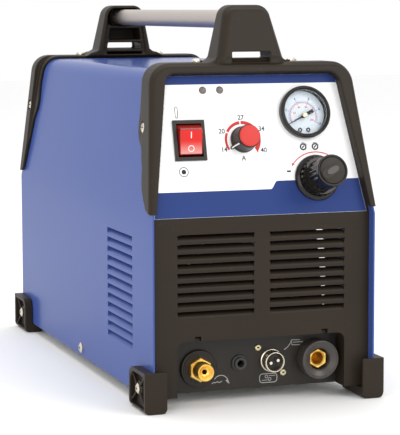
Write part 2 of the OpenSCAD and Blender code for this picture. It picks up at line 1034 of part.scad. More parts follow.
module trigger_socket_shell() {
  color(nickel)
    facing(trig_x, front_y, trig_z)
      difference() {
        union() {
          translate([0, 0, -24.95])
            cylinder(r = 8.9, h = 1.6);
          translate([0, 0, -23.4])
            cylinder(r = 8.2, h = 9.2);
          translate([0, 0, -32])
            cylinder(r = 8, h = 8);
          translate([0, 0, -29])
            cylinder(r = 10.8, h = 2.15, $fn = 6);
        }
        translate([0, 0, -23])
          cylinder(r = 7.2, h = 12);
        translate([0, 0, -34])
          cylinder(r = 6.2, h = 20);
      }
}

module trigger_socket_insert() {
  color(dark)
    facing(trig_x, front_y, trig_z)
      difference() {
        translate([0, 0, -22.95])
          cylinder(r = 7.15, h = 3);
        for (s = [-1, 1])
          translate([s * 2.9, s * 0.9, -30])
            cylinder(r = 1.3, h = 20);
      }
}

module trigger_pins() {
  color(nickel)
    for (s = [-1, 1])
      facing(trig_x + s * 2.9, front_y + 35, trig_z + s * 0.9)
        cylinder(r = 1.28, h = 19.4);
}

module trigger_socket_screws() {
  color(brass)
    for (s = [-1, 1])
      facing(trig_x + s * 10.4, front_y + 24.95, trig_z - s * 10.4)
        screw(2.4, 1.5, 1.5, 6);
}

module earth_socket_ring() {
  color(dark)
    facing(earth_x, front_y, earth_z)
      difference() {
        union() {
          translate([0, 0, -24.95])
            cylinder(r = 15.2, h = 11.8);
          translate([0, 0, -13.2])
            cylinder(r1 = 15.2, r2 = 14.5, h = 1);
          translate([0, 0, -28])
            cylinder(r = 10, h = 4);
          for (a = [0 : 15 : 345])
            rotate([0, 0, a])
              translate([14.6, -0.7, -24])
                cube([1.2, 1.4, 9.6]);
        }
        translate([0, 0, -40])
          cylinder(r = 6.85, h = 40);
        translate([0, 0, -23.4])
          cylinder(r = 8.4, h = 20);
        translate([0, 0, -15.2])
          cylinder(r1 = 8.4, r2 = 10.4, h = 4);
      }
}

module earth_socket_contact() {
  color(brass)
    facing(earth_x, front_y, earth_z)
      difference() {
        union() {
          translate([0, 0, -44])
            cylinder(r = 6.8, h = 21);
          translate([0, 0, -23.2])
            cylinder(r = 7.6, h = 5, $fn = 6);
          translate([0, 0, -35])
            cylinder(r = 10.5, h = 6.9, $fn = 6);
        }
        translate([0, 0, -38])
          cylinder(r = 4.65, h = 30);
        translate([0, 0, -19.4])
          cylinder(r1 = 4.65, r2 = 5.9, h = 1.3);
      }
}

module cable_gland() {
  color(dark)
    on_rear(-50, 50, 0)
      difference() {
        union() {
          translate([0, 0, 0.05])
            cylinder(r = 12, h = 6, $fn = 6);
          translate([0, 0, 6])
            cylinder(r = 10.4, h = 9);
          translate([0, 0, 14.9])
            cylinder(r1 = 10.4, r2 = 6.6, h = 7);
          translate([0, 0, -9])
            cylinder(r = 8, h = 10);
          translate([0, 0, -6.6])
            cylinder(r = 11.5, h = 5, $fn = 6);
        }
        translate([0, 0, -20])
          cylinder(r = 4.2, h = 60);
      }
}

module air_inlet_fitting() {
  color(brass)
    on_rear(50, 50, 0)
      difference() {
        union() {
          translate([0, 0, 0.05])
            cylinder(r = 9.8, h = 6.5, $fn = 6);
          translate([0, 0, 6.5])
            cylinder(r = 4.4, h = 16.5);
          for (k = [0 : 3])
            translate([0, 0, 9 + 3.4 * k])
              cylinder(r1 = 5.4, r2 = 4.4, h = 3);
          translate([0, 0, -12])
            cylinder(r = 6.5, h = 12.1);
        }
        translate([0, 0, -20])
          cylinder(r = 2.8, h = 60);
      }
}

module solenoid_valve() {
  color([0.55, 0.5, 0.4])
    on_rear(50, 50, 0)
      difference() {
        union() {
          translate([-11, -9, -42])
            cube([22, 18, 38]);
          translate([0, 8.9, -24])
            rotate([-90, 0, 0])
              cylinder(r = 12, h = 28);
          translate([0, 0, -50])
            cylinder(r = 4.5, h = 9);
        }
        translate([0, 0, -14])
          cylinder(r = 6.55, h = 20);
        translate([0, 0, -60])
          cylinder(r = 2.5, h = 50);
      }
}

// a hose through a list of points, with an elbow at each bend
module hose(r, p) {
  for (i = [0 : len(p) - 2]) {
    d = p[i + 1] - p[i];
    l = norm(d);
    translate(p[i])
      rotate([0, acos(d[2] / l), atan2(d[1], d[0])])
        cylinder(r = r, h = l);
    if (i > 0)
      translate(p[i])
        sphere(r = r + 1);
  }
}

module air_hoses() {
  color([0.1, 0.1, 0.12])
    translate([0, shift_y, 0]) {
      hose(4, [[-50, 140.5, 186.2], [-50, -100, 181], [24.5, -160.8, 163.3]]);
      hose(4, [
        [69.1, -160.8, 163.3], [79, -148, 150], [79, -140, 56], [-46, -140, 42], [-46, -161.2, 27.5]
      ]);
    }
}

module fan_frame() {
  color(dark)
    facing(0, rear_y - 9.6, fan_z)
      difference() {
        union() {
          difference() {
            translate([-60, -60, 0])
              cube([120, 120, 25]);
            translate([0, 0, -1])
              cylinder(r = 57, h = 30);
          }
          cylinder(r = 18.5, h = 6);
          for (a = [45, 165, 285])
            rotate([0, 0, a])
              translate([15, -2.5, 0])
                cube([43.5, 5, 4]);
        }
        for (x = [-52.5, 52.5])
          for (y = [-52.5, 52.5])
            translate([x, y, -1])
              cylinder(r = 2.2, h = 30);
        translate([0, 0, -1])
          cylinder(r = 2.05, h = 10);
      }
}

module fan_rotor() {
  color(dark)
    facing(0, rear_y - 9.6, fan_z)
      union() {
        translate([0, 0, 7])
          cylinder(r = 19, h = 16);
        translate([0, 0, 1])
          cylinder(r = 2, h = 8);
        for (a = [0 : 360 / 7 : 359])
          rotate([0, 0, a])
            translate([17, 0, 15])
              rotate([38, 0, 0])
                translate([0, -9, -0.8])
                  cube([37.5, 18, 1.6]);
      }
}

module fan_guard() {
  color(nickel)
    facing(0, rear_y - 5.5, fan_z)
      union() {
        for (r = [14, 26, 38, 50])
          rotate_extrude()
            translate([r, 0])
              circle(r = 1.1);
        for (a = [45, 135, 225, 315])
          rotate([0, 0, a])
            translate([13, -1.1, -0.6])
              cube([57, 2.2, 1.7]);
        for (x = [-52.5, 52.5])
          for (y = [-52.5, 52.5])
            translate([x, y, 0])
              difference() {
                translate([0, 0, -0.8])
                  cylinder(r = 4.6, h = 3.25);
                translate([0, 0, -5])
                  cylinder(r = 2.2, h = 12);
              }
      }
}

module fan_screws() {
  color(nickel)
    for (x = [-52.5, 52.5])
      for (z = [-52.5, 52.5])
        translate([x, rear_y - 4.6, fan_z + z])
          rotate([-90, 0, 0])
            screw(4, 2.4, 2, 32);
}

module main_board() {
  color(green)
    difference() {
      translate([-79, front_y + 82, 24.05])
        cube([158, 260, 1.6]);
      for (s = [-1, 1])
        for (y = [front_y + 95, front_y + 330])
          translate([s * 70, y, 20])
            cylinder(r = 1.6, h = 10);
    }
}

module heat_sinks() {
  color([0.7, 0.7, 0.7])
    for (s = [-1, 1])
      difference() {
        translate([s * 47 - 22, front_y + 105, 25.7])
          cube([44, 140, 62]);
        for (k = [0 : 5])
          translate([s * (31 + 7 * k) - 2.3, front_y + 100, 33])
            cube([4.6, 150, 60]);
      }
}

module capacitors() {
  color([0.2, 0.2, 0.3])
    for (x = [-56, 56])
      for (y = [front_y + 268, front_y + 304])
        translate([x, y, 25.7])
          cylinder(r = 15, h = 48);
}

module transformer() {
  color([0.35, 0.3, 0.25])
    union() {
      translate([-26, front_y + 262, 25.7])
        cube([52, 14, 50]);
      translate([-26, front_y + 304, 25.7])
        cube([52, 14, 50]);
      translate([0, front_y + 305, 51])
        rotate([90, 0, 0])
          cylinder(r = 20, h = 30);
    }
}

module control_board() {
  color(green)
    union() {
      translate([-77, front_y + 135, 96])
        cube([1.6, 120, 60]);
      for (y = [front_y + 145, front_y + 245])
        translate([-77, y - 4, 25.7])
          cube([1.6, 8, 72]);
      for (k = [0 : 3])
        translate([-75.5, front_y + 145 + 26 * k, 108])
          cube([8, 14, 22]);
    }
}

cover();
base_tray();
front_panel();
connector_plate();
rear_panel();
front_bezel();
rear_bezel();
handle_bar();
foot_front_left();
foot_front_right();
foot_rear_left();
foot_rear_right();
foot_screws();
bezel_screws();
cover_screws();
control_label();
switch_housing();
switch_rocker();
knob_body();
knob_cap();
potentiometer();
pot_shaft();
gauge_case();
gauge_dial();
gauge_needle();
gauge_lens();
led_lenses();
regulator_body();
regulator_panel_nut();
regulator_screw();
regulator_knob();
torch_flange();
torch_fitting();
pilot_grommet();
trigger_socket_shell();
trigger_socket_insert();
trigger_pins();
trigger_socket_screws();
earth_socket_ring();
earth_socket_contact();
cable_gland();
air_inlet_fitting();
solenoid_valve();
air_hoses();
fan_frame();
fan_rotor();
fan_guard();
fan_screws();
main_board();
heat_sinks();
capacitors();
transformer();
control_board();
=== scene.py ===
import json
import math

import bmesh
import bpy
import numpy as np
from mathutils import Matrix, Vector


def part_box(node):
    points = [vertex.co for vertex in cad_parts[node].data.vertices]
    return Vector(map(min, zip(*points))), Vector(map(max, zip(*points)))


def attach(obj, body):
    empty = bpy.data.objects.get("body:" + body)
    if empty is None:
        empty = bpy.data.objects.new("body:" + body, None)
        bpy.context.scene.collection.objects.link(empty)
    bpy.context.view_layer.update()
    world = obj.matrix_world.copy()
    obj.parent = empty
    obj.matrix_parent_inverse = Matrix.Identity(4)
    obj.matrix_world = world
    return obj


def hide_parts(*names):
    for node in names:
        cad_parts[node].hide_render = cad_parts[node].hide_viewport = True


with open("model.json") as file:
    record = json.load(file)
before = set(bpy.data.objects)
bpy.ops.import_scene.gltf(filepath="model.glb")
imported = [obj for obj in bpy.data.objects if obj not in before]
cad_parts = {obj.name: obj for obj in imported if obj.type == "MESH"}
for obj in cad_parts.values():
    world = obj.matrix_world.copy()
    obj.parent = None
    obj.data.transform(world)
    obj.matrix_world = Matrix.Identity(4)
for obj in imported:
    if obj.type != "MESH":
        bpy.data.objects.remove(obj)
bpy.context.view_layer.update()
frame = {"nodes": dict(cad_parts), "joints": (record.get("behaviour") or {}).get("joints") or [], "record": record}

# ---- places, in millimetres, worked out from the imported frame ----
MM = 0.001
LEAN = math.radians(15)
REAR_LEAN = math.radians(8.4)
INSET = 8
CREASE_Z = 144
BODY_TOP = 254.5
RIM_FACE = 9.2
HALF_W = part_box("cover")[1].x / MM
FRONT_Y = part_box("cover")[0].y / MM
REAR_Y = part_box("cover")[1].y / MM
joint_at = {j["name"]: Vector(j["pos_m"]) / MM for j in frame["joints"] if "pos_m" in j}
mount_at = {m["name"]: Vector(m["pos_m"]) / MM for m in frame["record"]["mounts"]}

PANEL_UP = Vector((0, math.sin(LEAN), math.cos(LEAN)))
PANEL_OUT = Vector((0, -math.cos(LEAN), math.sin(LEAN)))
PANEL_ORIGIN = Vector((0, FRONT_Y + INSET, CREASE_Z))


def axes(right, up, out, origin):
    """Matrix of a frame whose local units are millimetres."""
    rows = [[right[i] * MM, up[i] * MM, out[i] * MM, origin[i] * MM] for i in range(3)]
    return Matrix([*rows, [0, 0, 0, 1]])


def panel(u=0.0, v=0.0, w=0.0):
    """Place on the sloping control panel: u across, v up the slope, w out of it."""
    origin = PANEL_ORIGIN + Vector((u, 0, 0)) + PANEL_UP * v + PANEL_OUT * w
    return axes((1, 0, 0), PANEL_UP, PANEL_OUT, origin)


def facing(x, y, z):
    """Place on an upright face that looks forward."""
    return axes((1, 0, 0), (0, 0, 1), (0, -1, 0), (x, y, z))


def on_panel_uv(name):
    """u and v of a joint that lies on the control panel."""
    offset = joint_at[name] - PANEL_ORIGIN
    return offset.x, offset.dot(PANEL_UP)


SWITCH_U, SWITCH_V = on_panel_uv("power_switch")
KNOB_U, KNOB_V = on_panel_uv("current_knob_turn")
HUB_U, HUB_V = on_panel_uv("gauge_needle_turn")
HUB_DROP = 2.2
GAUGE_U, GAUGE_V = HUB_U, HUB_V + HUB_DROP
REG_U, REG_V = on_panel_uv("regulator_turn")
KNOB_START = 213
ROCKER_TILT = 16
REG_BAR_TURN = 27


# ---- materials ----
def socket(shader, name, value):
    shader.inputs[name].default_value = value


def finish_of(name, colour, rough, metal=0.0, mottle=0.08, grain=(900, 0.25, 0.00008), stretch=(1, 1, 1),
              scuff=None, coat=0.0, coat_rough=0.1, specular=0.5, extra=None):
    """A node material: colour and roughness drift, fine surface relief, and scuffs in a second colour."""
    m = bpy.data.materials.new(name)
    m.use_nodes = True
    tree = m.node_tree
    new, link = tree.nodes.new, tree.links.new
    shader = tree.nodes["Principled BSDF"]
    socket(shader, "Metallic", metal)
    socket(shader, "Coat Weight", coat)
    socket(shader, "Coat Roughness", coat_rough)
    socket(shader, "Specular IOR Level", specular)
    place = new("ShaderNodeTexCoord")
    wide = new("ShaderNodeTexNoise")
    wide.inputs["Scale"].default_value = 14
    wide.inputs["Detail"].default_value = 5
    link(place.outputs["Object"], wide.inputs["Vector"])
    drift = new("ShaderNodeMix")
    drift.data_type = "RGBA"
    drift.inputs["A"].default_value = (*[c * (1 - mottle) for c in colour], 1)
    drift.inputs["B"].default_value = (*[min(1, c * (1 + mottle) + mottle * 0.01) for c in colour], 1)
    link(wide.outputs["Fac"], drift.inputs["Factor"])
    tint = drift.outputs["Result"]
    rough_range = new("ShaderNodeMapRange")
    rough_range.inputs["To Min"].default_value = max(0.03, rough * 0.85)
    rough_range.inputs["To Max"].default_value = min(1, rough * 1.2)
    link(wide.outputs["Fac"], rough_range.inputs["Value"])
    roughness = rough_range.outputs["Result"]
    if scuff:
        scuff_colour, scale, share = scuff
        fine = new("ShaderNodeTexNoise")
        fine.inputs["Scale"].default_value = scale
        fine.inputs["Detail"].default_value = 9
        fine.inputs["Roughness"].default_value = 0.72
        link(place.outputs["Object"], fine.inputs["Vector"])
        ramp = new("ShaderNodeValToRGB")
        ramp.color_ramp.elements[0].position = 0.62
        ramp.color_ramp.elements[1].position = 0.8
        ramp.color_ramp.elements[1].color = (share, share, share, 1)
        link(fine.outputs["Fac"], ramp.inputs["Fac"])
        worn = new("ShaderNodeMix")
        worn.data_type = "RGBA"
        link(ramp.outputs["Color"], worn.inputs["Factor"])
        link(tint, worn.inputs["A"])
        worn.inputs["B"].default_value = (*scuff_colour, 1)
        tint = worn.outputs["Result"]
    if extra:
        tint = extra(tree, place, tint)
    link(tint, shader.inputs["Base Color"])
    link(roughness, shader.inputs["Roughness"])
    scale, strength, distance = grain
    mapping = new("ShaderNodeMapping")
    mapping.inputs["Scale"].default_value = stretch
    link(place.outputs["Object"], mapping.inputs["Vector"])
    relief = new("ShaderNodeTexNoise")
    relief.inputs["Scale"].default_value = scale
    relief.inputs["Detail"].default_value = 3
    link(mapping.outputs["Vector"], relief.inputs["Vector"])
    bump = new("ShaderNodeBump")
    bump.inputs["Strength"].default_value = strength
    bump.inputs["Distance"].default_value = distance
    link(relief.outputs["Fac"], bump.inputs["Height"])
    link(bump.outputs["Normal"], shader.inputs["Normal"])
    return m


def see_through(m, amount, ior):
    shader = m.node_tree.nodes["Principled BSDF"]
    socket(shader, "Transmission Weight", amount)
    socket(shader, "IOR", ior)
    return m


def painted_sheen_ramp(other, low, high, share):
    """Painted sheen: mixes a second colour into a tint, growing from the high to the low end of z, in metres."""
    def build(tree, place, tint):
        split = tree.nodes.new("ShaderNodeSeparateXYZ")
        tree.links.new(place.outputs["Object"], split.inputs[0])
        ramp = tree.nodes.new("ShaderNodeMapRange")
        ramp.interpolation_type = "SMOOTHSTEP"
        ramp.inputs["From Min"].default_value = low
        ramp.inputs["From Max"].default_value = high
        ramp.inputs["To Min"].default_value = share
        ramp.inputs["To Max"].default_value = 0.0
        tree.links.new(split.outputs["Z"], ramp.inputs["Value"])
        mixed = tree.nodes.new("ShaderNodeMix")
        mixed.data_type = "RGBA"
        tree.links.new(ramp.outputs["Result"], mixed.inputs["Factor"])
        tree.links.new(tint, mixed.inputs["A"])
        mixed.inputs["B"].default_value = (*other, 1)
        return mixed.outputs["Result"]
    return build


DUST = (0.16, 0.15, 0.14)
PAINT = finish_of("blue_powder_coat", (0.056, 0.097, 0.32), 0.2, mottle=0.05, grain=(420, 0.12, 0.00008),
                  scuff=((0.08, 0.125, 0.35), 60, 0.25), specular=0.06)
PLASTIC = finish_of("moulded_black", (0.0225, 0.0155, 0.0095), 0.45, mottle=0.16,
                    grain=(1500, 0.35, 0.00012), scuff=(DUST, 90, 0.18), specular=0.2)
SMOOTH_PLASTIC = finish_of("smooth_black", (0.022, 0.0175, 0.0135), 0.32, mottle=0.12,
                           grain=(1200, 0.15, 0.00006), scuff=(DUST, 120, 0.2), specular=0.28)
GLOSS_BLACK = finish_of("gloss_black", (0.01, 0.008, 0.006), 0.14, mottle=0.1, grain=(700, 0.08, 0.00003),
                        scuff=(DUST, 160, 0.1), coat=0.05, coat_rough=0.05, specular=0.3)
BLACK_STEEL = finish_of("satin_black_steel", (0.02, 0.0165, 0.013), 0.4, mottle=0.15,
                        grain=(1100, 0.3, 0.0001), scuff=(DUST, 70, 0.2), specular=0.3)
CAP_BLACK = finish_of("cap_black", (0.022, 0.0165, 0.011), 0.4, mottle=0.14, grain=(1300, 0.3, 0.0001),
                      scuff=(DUST, 120, 0.25), specular=0.3)
SOCKET_GREY = finish_of("socket_grey", (0.048, 0.041, 0.037), 0.3, mottle=0.12,
                        grain=(1200, 0.15, 0.00006), scuff=(DUST, 120, 0.25), specular=0.45)
ZINC = finish_of("zinc_steel", (0.55, 0.55, 0.53), 0.34, metal=1.0, mottle=0.1,
                 grain=(500, 0.2, 0.00005), stretch=(1, 9, 9), scuff=((0.4, 0.39, 0.36), 60, 0.5))
ALUMINIUM = finish_of("satin_aluminium", (0.5, 0.45, 0.42), 0.46, metal=0.75, mottle=0.06,
                      grain=(900, 0.3, 0.00005), stretch=(6, 0.25, 6), scuff=((0.4, 0.36, 0.33), 90, 0.4))
NICKEL = finish_of("nickel_plate", (0.74, 0.67, 0.55), 0.2, metal=1.0, mottle=0.08,
                   grain=(900, 0.15, 0.00004), scuff=((0.45, 0.4, 0.3), 200, 0.5))
BRASS = finish_of("turned_brass", (0.98, 0.62, 0.16), 0.36, metal=1.0, mottle=0.1,
                  grain=(1100, 0.2, 0.00004), scuff=((0.6, 0.34, 0.08), 150, 0.5))
PALE_BRASS = finish_of("pale_brass", (0.74, 0.66, 0.42), 0.28, metal=1.0, mottle=0.1,
                       grain=(1100, 0.2, 0.00004), scuff=((0.45, 0.38, 0.2), 150, 0.5))
FILM_WHITE = finish_of("film_white", (0.95, 0.955, 0.965), 0.4, mottle=0.012,
                       grain=(1600, 0.08, 0.00003), scuff=((0.8, 0.82, 0.85), 50, 0.12), specular=0.3)
FILM_BLUE = finish_of("film_blue", (0.024, 0.048, 0.185), 0.45, mottle=0.05,
                      grain=(1600, 0.08, 0.00003), scuff=((0.04, 0.065, 0.21), 50, 0.3), specular=0.12)
PRINT_RED = finish_of("print_red", (0.62, 0.035, 0.03), 0.4, mottle=0.05,
                      grain=(1600, 0.08, 0.00003), specular=0.25)
PRINT_DARK = finish_of("print_dark", (0.02, 0.02, 0.024), 0.4, mottle=0.08,
                       grain=(1600, 0.08, 0.00003), specular=0.2)
PRINT_BLUE = finish_of("print_blue", (0.05, 0.16, 0.5), 0.4, mottle=0.08,
                       grain=(1600, 0.08, 0.00003), specular=0.2)
PRINT_WHITE = finish_of("print_white", (0.85, 0.84, 0.82), 0.4, mottle=0.03, grain=(1600, 0.08, 0.00003))
PRINT_GREY = finish_of("print_grey", (0.4, 0.39, 0.37), 0.45, mottle=0.06, grain=(1600, 0.08, 0.00003))
# The pinkish lightening of the rocker face towards its low end is a painted sheen of reflected light.
RED_FACE = finish_of("rocker_red", (0.66, 0.012, 0.008), 0.25, mottle=0.08, grain=(700, 0.1, 0.00004),
                     scuff=((0.8, 0.12, 0.09), 120, 0.2), coat=0.1, coat_rough=0.08,
                     specular=0.3, extra=painted_sheen_ramp((0.68, 0.34, 0.31), 0.191, 0.203, 0.9))
# Clear red plastic of the rocker shell, in a much darker red than the face: the darkening is painted shade on its
# side walls.
RED_BODY_PAINTED_SHADE = see_through(
    finish_of("red_plastic_in_painted_shade", (0.36, 0.012, 0.009), 0.14, mottle=0.1, grain=(700, 0.1, 0.00004),
              scuff=((0.5, 0.06, 0.04), 120, 0.2), coat=0.3, coat_rough=0.08), 0.1, 1.45)
CAP_RED = finish_of("cap_red", (0.6, 0.042, 0.036), 0.45, mottle=0.06, grain=(1300, 0.2, 0.00006),
                    scuff=((0.8, 0.2, 0.17), 120, 0.25), specular=0.3)
DIAL = finish_of("dial_face", (0.82, 0.89, 0.97), 0.4, mottle=0.03, grain=(1500, 0.1, 0.00003),
                 scuff=((0.66, 0.74, 0.84), 60, 0.2))
LENS = see_through(
    finish_of("clear_lens", (0.98, 0.99, 1.0), 0.03, mottle=0.01, grain=(300, 0.04, 0.00002)), 1.0, 1.1)
LED = see_through(
    finish_of("smoked_lens", (0.24, 0.2, 0.18), 0.2, mottle=0.15, grain=(900, 0.1, 0.00003)), 0.3, 1.45)
RUBBER = finish_of("hose_rubber", (0.03, 0.028, 0.028), 0.5, mottle=0.2, grain=(900, 0.3, 0.0001),
                   scuff=(DUST, 90, 0.3))
BOARD = finish_of("circuit_board", (0.02, 0.12, 0.05), 0.35, mottle=0.2, grain=(600, 0.3, 0.0001),
                  scuff=((0.5, 0.42, 0.2), 220, 0.6))
SLEEVE = finish_of("shrink_sleeve", (0.03, 0.03, 0.09), 0.25, mottle=0.15, grain=(500, 0.15, 0.00006),
                   scuff=((0.2, 0.2, 0.28), 90, 0.3))
WINDING = finish_of("varnished_winding", (0.2, 0.1, 0.03), 0.35, mottle=0.3,
                    grain=(500, 0.5, 0.0003), stretch=(1, 14, 1), scuff=((0.4, 0.24, 0.08), 90, 0.5))

NODE_FINISH = {
    PAINT: ("cover",),
    ZINC: ("base_tray", "fan_guard", "potentiometer"),
    PLASTIC: ("front_panel", "cable_gland", "fan_frame", "fan_rotor"),
    SMOOTH_PLASTIC: ("switch_housing",),
    BLACK_STEEL: ("connector_plate", "rear_panel"),
    ALUMINIUM: ("handle_bar", "heat_sinks"),
    NICKEL: ("foot_screws", "bezel_screws", "cover_screws", "fan_screws", "pot_shaft", "regulator_screw",
             "trigger_pins"),
    FILM_WHITE: ("control_label",),
    BRASS: ("air_inlet_fitting", "solenoid_valve"),
    PRINT_DARK: ("gauge_needle",),
    GLOSS_BLACK: ("regulator_body", "trigger_socket_insert"),
    RUBBER: ("air_hoses",),
    BOARD: ("main_board", "control_board"),
    SLEEVE: ("capacitors",),
    WINDING: ("transformer",),
}
EDGE_WIDTH = {"cover": 0.3, "front_panel": 0.3, "handle_bar": 0.5, "switch_housing": 0.35,
              "bezel_screws": 0.2, "foot_screws": 0.2, "cover_screws": 0.2, "control_label": 0.08,
              "gauge_needle": 0.08, "fan_rotor": 0.3, "fan_frame": 0.6, "fan_guard": 0.0, "air_hoses": 0.0,
              "regulator_body": 0.25, "cable_gland": 0.3, "trigger_pins": 0.25}
DEFAULT_EDGE = 0.25


def dress(node, material):
    """Gives a CAD node its finish, welds its seams and rounds its edges."""
    o = frame["nodes"][node]
    o.data.materials.clear()
    o.data.materials.append(material)
    width = EDGE_WIDTH.get(node, DEFAULT_EDGE)
    weld = o.modifiers.new("weld", "WELD")
    weld.merge_threshold = 1e-6
    if width:
        flats = o.modifiers.new("flats", "DECIMATE")
        flats.decimate_type = "DISSOLVE"
        flats.angle_limit = math.radians(0.5)
        edge = o.modifiers.new("edge", "BEVEL")
        edge.width = width * MM
        edge.segments = 2
        edge.limit_method = "ANGLE"
        edge.angle_limit = math.radians(32)
        edge.use_clamp_overlap = True
        edge.harden_normals = False
    for p in o.data.polygons:
        p.use_smooth = True
    normals = o.modifiers.new("normals", "WEIGHTED_NORMAL")
    normals.keep_sharp = True


for finish, names in NODE_FINISH.items():
    for name in names:
        dress(name, finish)


# ---- building pieces ----
def add_piece(name, bm, place, body, finish, replaces=(), smooth=35):
    """Turns a bmesh, in the units of place, into a piece that rides on a body."""
    bmesh.ops.remove_doubles(bm, verts=bm.verts, dist=1e-5)
    bmesh.ops.recalc_face_normals(bm, faces=bm.faces)
    mesh = bpy.data.meshes.new(name)
    bm.to_mesh(mesh)
    bm.free()
    mesh.transform(place)
    for p in mesh.polygons:
        p.use_smooth = True
    mesh.set_sharp_from_angle(angle=math.radians(smooth))
    mesh.materials.append(finish)
    o = bpy.data.objects.new(name, mesh)
    bpy.context.scene.collection.objects.link(o)
    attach(o, body)
    if replaces:
        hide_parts(*replaces)
    return o


def arc_points(x, y, r, start, end, steps):
    turn = [math.radians(start + (end - start) * i / steps) for i in range(steps + 1)]
    return [(x + r * math.cos(a), y + r * math.sin(a)) for a in turn]


def eased(points, radius, steps=3, closed=True):
    """An outline with its corners rounded; points on the axis of a turned profile stay."""
    out = []
    n = len(points)
    for i, p in enumerate(points):
        p = Vector(p)
        if (not closed and i in (0, n - 1)) or (not closed and p.x < 1e-6):
            out.append(tuple(p))
            continue
        a, b = Vector(points[i - 1]), Vector(points[(i + 1) % n])
        reach = min(radius, 0.42 * (a - p).length, 0.42 * (b - p).length)
        start, end = p + (a - p).normalized() * reach, p + (b - p).normalized() * reach
        for k in range(steps + 1):
            t = k / steps
            out.append(tuple(start * (1 - t) ** 2 + p * 2 * t * (1 - t) + end * t * t))
    return out


def turned(profile, edge=0.3, steps=72, closed=False, ripple=None):
    """A bmesh turned round the local z axis from (r, z) points; ripple(r, z, angle) may change a radius."""
    bm = bmesh.new()
    line = eased(profile, edge, closed=closed)
    rings = []
    for r, z in line:
        if r < 1e-6:
            rings.append([bm.verts.new((0, 0, z))])
            continue
        ring = []
        for k in range(steps):
            a = 2 * math.pi * k / steps
            rr = ripple(r, z, a) if ripple else r
            ring.append(bm.verts.new((rr * math.cos(a), rr * math.sin(a), z)))
        rings.append(ring)
    pairs = list(zip(rings, rings[1:] + rings[:1])) if closed else list(zip(rings, rings[1:]))
    for a, b in pairs:
        if len(a) == 1 and len(b) == 1:
            continue
        for k in range(steps):
            j = (k + 1) % steps
            corner = [a[0]] if len(a) == 1 else [a[k], a[j]]
            corner += [b[0]] if len(b) == 1 else [b[j], b[k]]
            bm.faces.new(corner)
    return bm


def slab(points, z0, z1, edge=0.0, bm=None):
    """A plate between two heights with the given outline."""
    bm = bm or bmesh.new()
    low = [bm.verts.new((x, y, z0)) for x, y in points]
    high = [bm.verts.new((x, y, z1)) for x, y in points]
    bm.faces.new(low[::-1])
    top = bm.faces.new(high)
    n = len(points)
    for i in range(n):
        bm.faces.new((low[i], low[(i + 1) % n], high[(i + 1) % n], high[i]))
    if edge:
        bmesh.ops.bevel(bm, geom=list(top.edges), offset=edge, segments=2, affect="EDGES",
                        clamp_overlap=True)
    return bm


def band(r0, r1, start, end):
    """A printed arc strip between two radii."""
    steps = 48
    outline = arc_points(0, 0, r1, start, end, steps) + arc_points(0, 0, r0, end, start, steps)
    return slab(outline, 0, INK)


def moved(bm, matrix):
    bmesh.ops.transform(bm, matrix=matrix, verts=bm.verts)
    return bm


def joined(parts):
    """Several bmeshes as one."""
    whole = bmesh.new()
    for part in parts:
        mesh = bpy.data.meshes.new("part")
        part.to_mesh(mesh)
        part.free()
        whole.from_mesh(mesh)
        bpy.data.meshes.remove(mesh)
    return whole


def figures(words, size, depth, x, y, weight):
    """Raised figures such as the numbers of a dial, centred on a point; weight thickens their strokes."""
    curve = bpy.data.curves.new("figures", "FONT")
    curve.body = words
    curve.size = size
    curve.extrude = depth / 2
    curve.offset = weight
    curve.align_x = "CENTER"
    curve.align_y = "CENTER"
    o = bpy.data.objects.new("figures", curve)
    bpy.context.scene.collection.objects.link(o)
    bpy.context.view_layer.update()
    mesh = bpy.data.meshes.new_from_object(o.evaluated_get(bpy.context.evaluated_depsgraph_get()))
    bm = bmesh.new()
    bm.from_mesh(mesh)
    bpy.data.objects.remove(o)
    bpy.data.curves.remove(curve)
    bpy.data.meshes.remove(mesh)
    return moved(bm, Matrix.Translation((x, y, depth / 2)))


# ---- moulded parts: remeshed from the CAD solid, then eased ----
def moulded(node, voxel, passes, shape=None, keep=1.0):
    """A copy of a CAD node with evenly spaced vertices and soft moulded edges."""
    source = frame["nodes"][node]
    mesh = source.data.copy()
    o = bpy.data.objects.new(node + "_moulded", mesh)
    bpy.context.scene.collection.objects.link(o)
    weld = o.modifiers.new("weld", "WELD")
    weld.merge_threshold = 1e-6
    remesh = o.modifiers.new("remesh", "REMESH")
    remesh.mode = "VOXEL"
    remesh.voxel_size = voxel * MM
    soften = o.modifiers.new("soften", "SMOOTH")
    soften.factor = 0.5
    soften.iterations = passes
    bpy.context.view_layer.update()
    result = bpy.data.meshes.new_from_object(o.evaluated_get(bpy.context.evaluated_depsgraph_get()))
    o.modifiers.clear()
    o.data = result
    result.name = node + "_moulded"
    if shape:
        co = np.zeros(len(result.vertices) * 3)
        result.vertices.foreach_get("co", co)
        co = shape(co.reshape(-1, 3) / MM) * MM
        result.vertices.foreach_set("co", co.ravel())
        result.update()
    if keep < 1:
        thin = o.modifiers.new("thin", "DECIMATE")
        thin.ratio = keep
        bpy.context.view_layer.update()
        thinned = bpy.data.meshes.new_from_object(o.evaluated_get(bpy.context.evaluated_depsgraph_get()))
        o.modifiers.clear()
        o.data = thinned
    for p in o.data.polygons:
        p.use_smooth = True
    o.data.materials.clear()
    o.data.materials.append(PLASTIC)
    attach(o, "housing")
    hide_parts(node)
    return o


def depth_inside(points, outline):
    """How far points of the x, z plane lie inside a closed outline; negative outside."""
    p = np.asarray(outline, float)
    q = np.roll(p, -1, axis=0)
    best = np.full(len(points), 1e9)
    inside = np.zeros(len(points), bool)
    for a, b in zip(p, q):
        d = b - a
        if d @ d < 1e-12:
            continue
        t = np.clip(((points - a) @ d) / (d @ d), 0, 1)
        best = np.minimum(best, np.linalg.norm(points - (a + t[:, None] * d), axis=1))
        crosses = (a[1] > points[:, 1]) != (b[1] > points[:, 1])
        with np.errstate(divide="ignore", invalid="ignore"):
            at = a[0] + (points[:, 1] - a[1]) * d[0] / (d[1] if d[1] else 1e-9)
        inside ^= crosses & (points[:, 0] < at)
    return np.where(inside, best, -best)


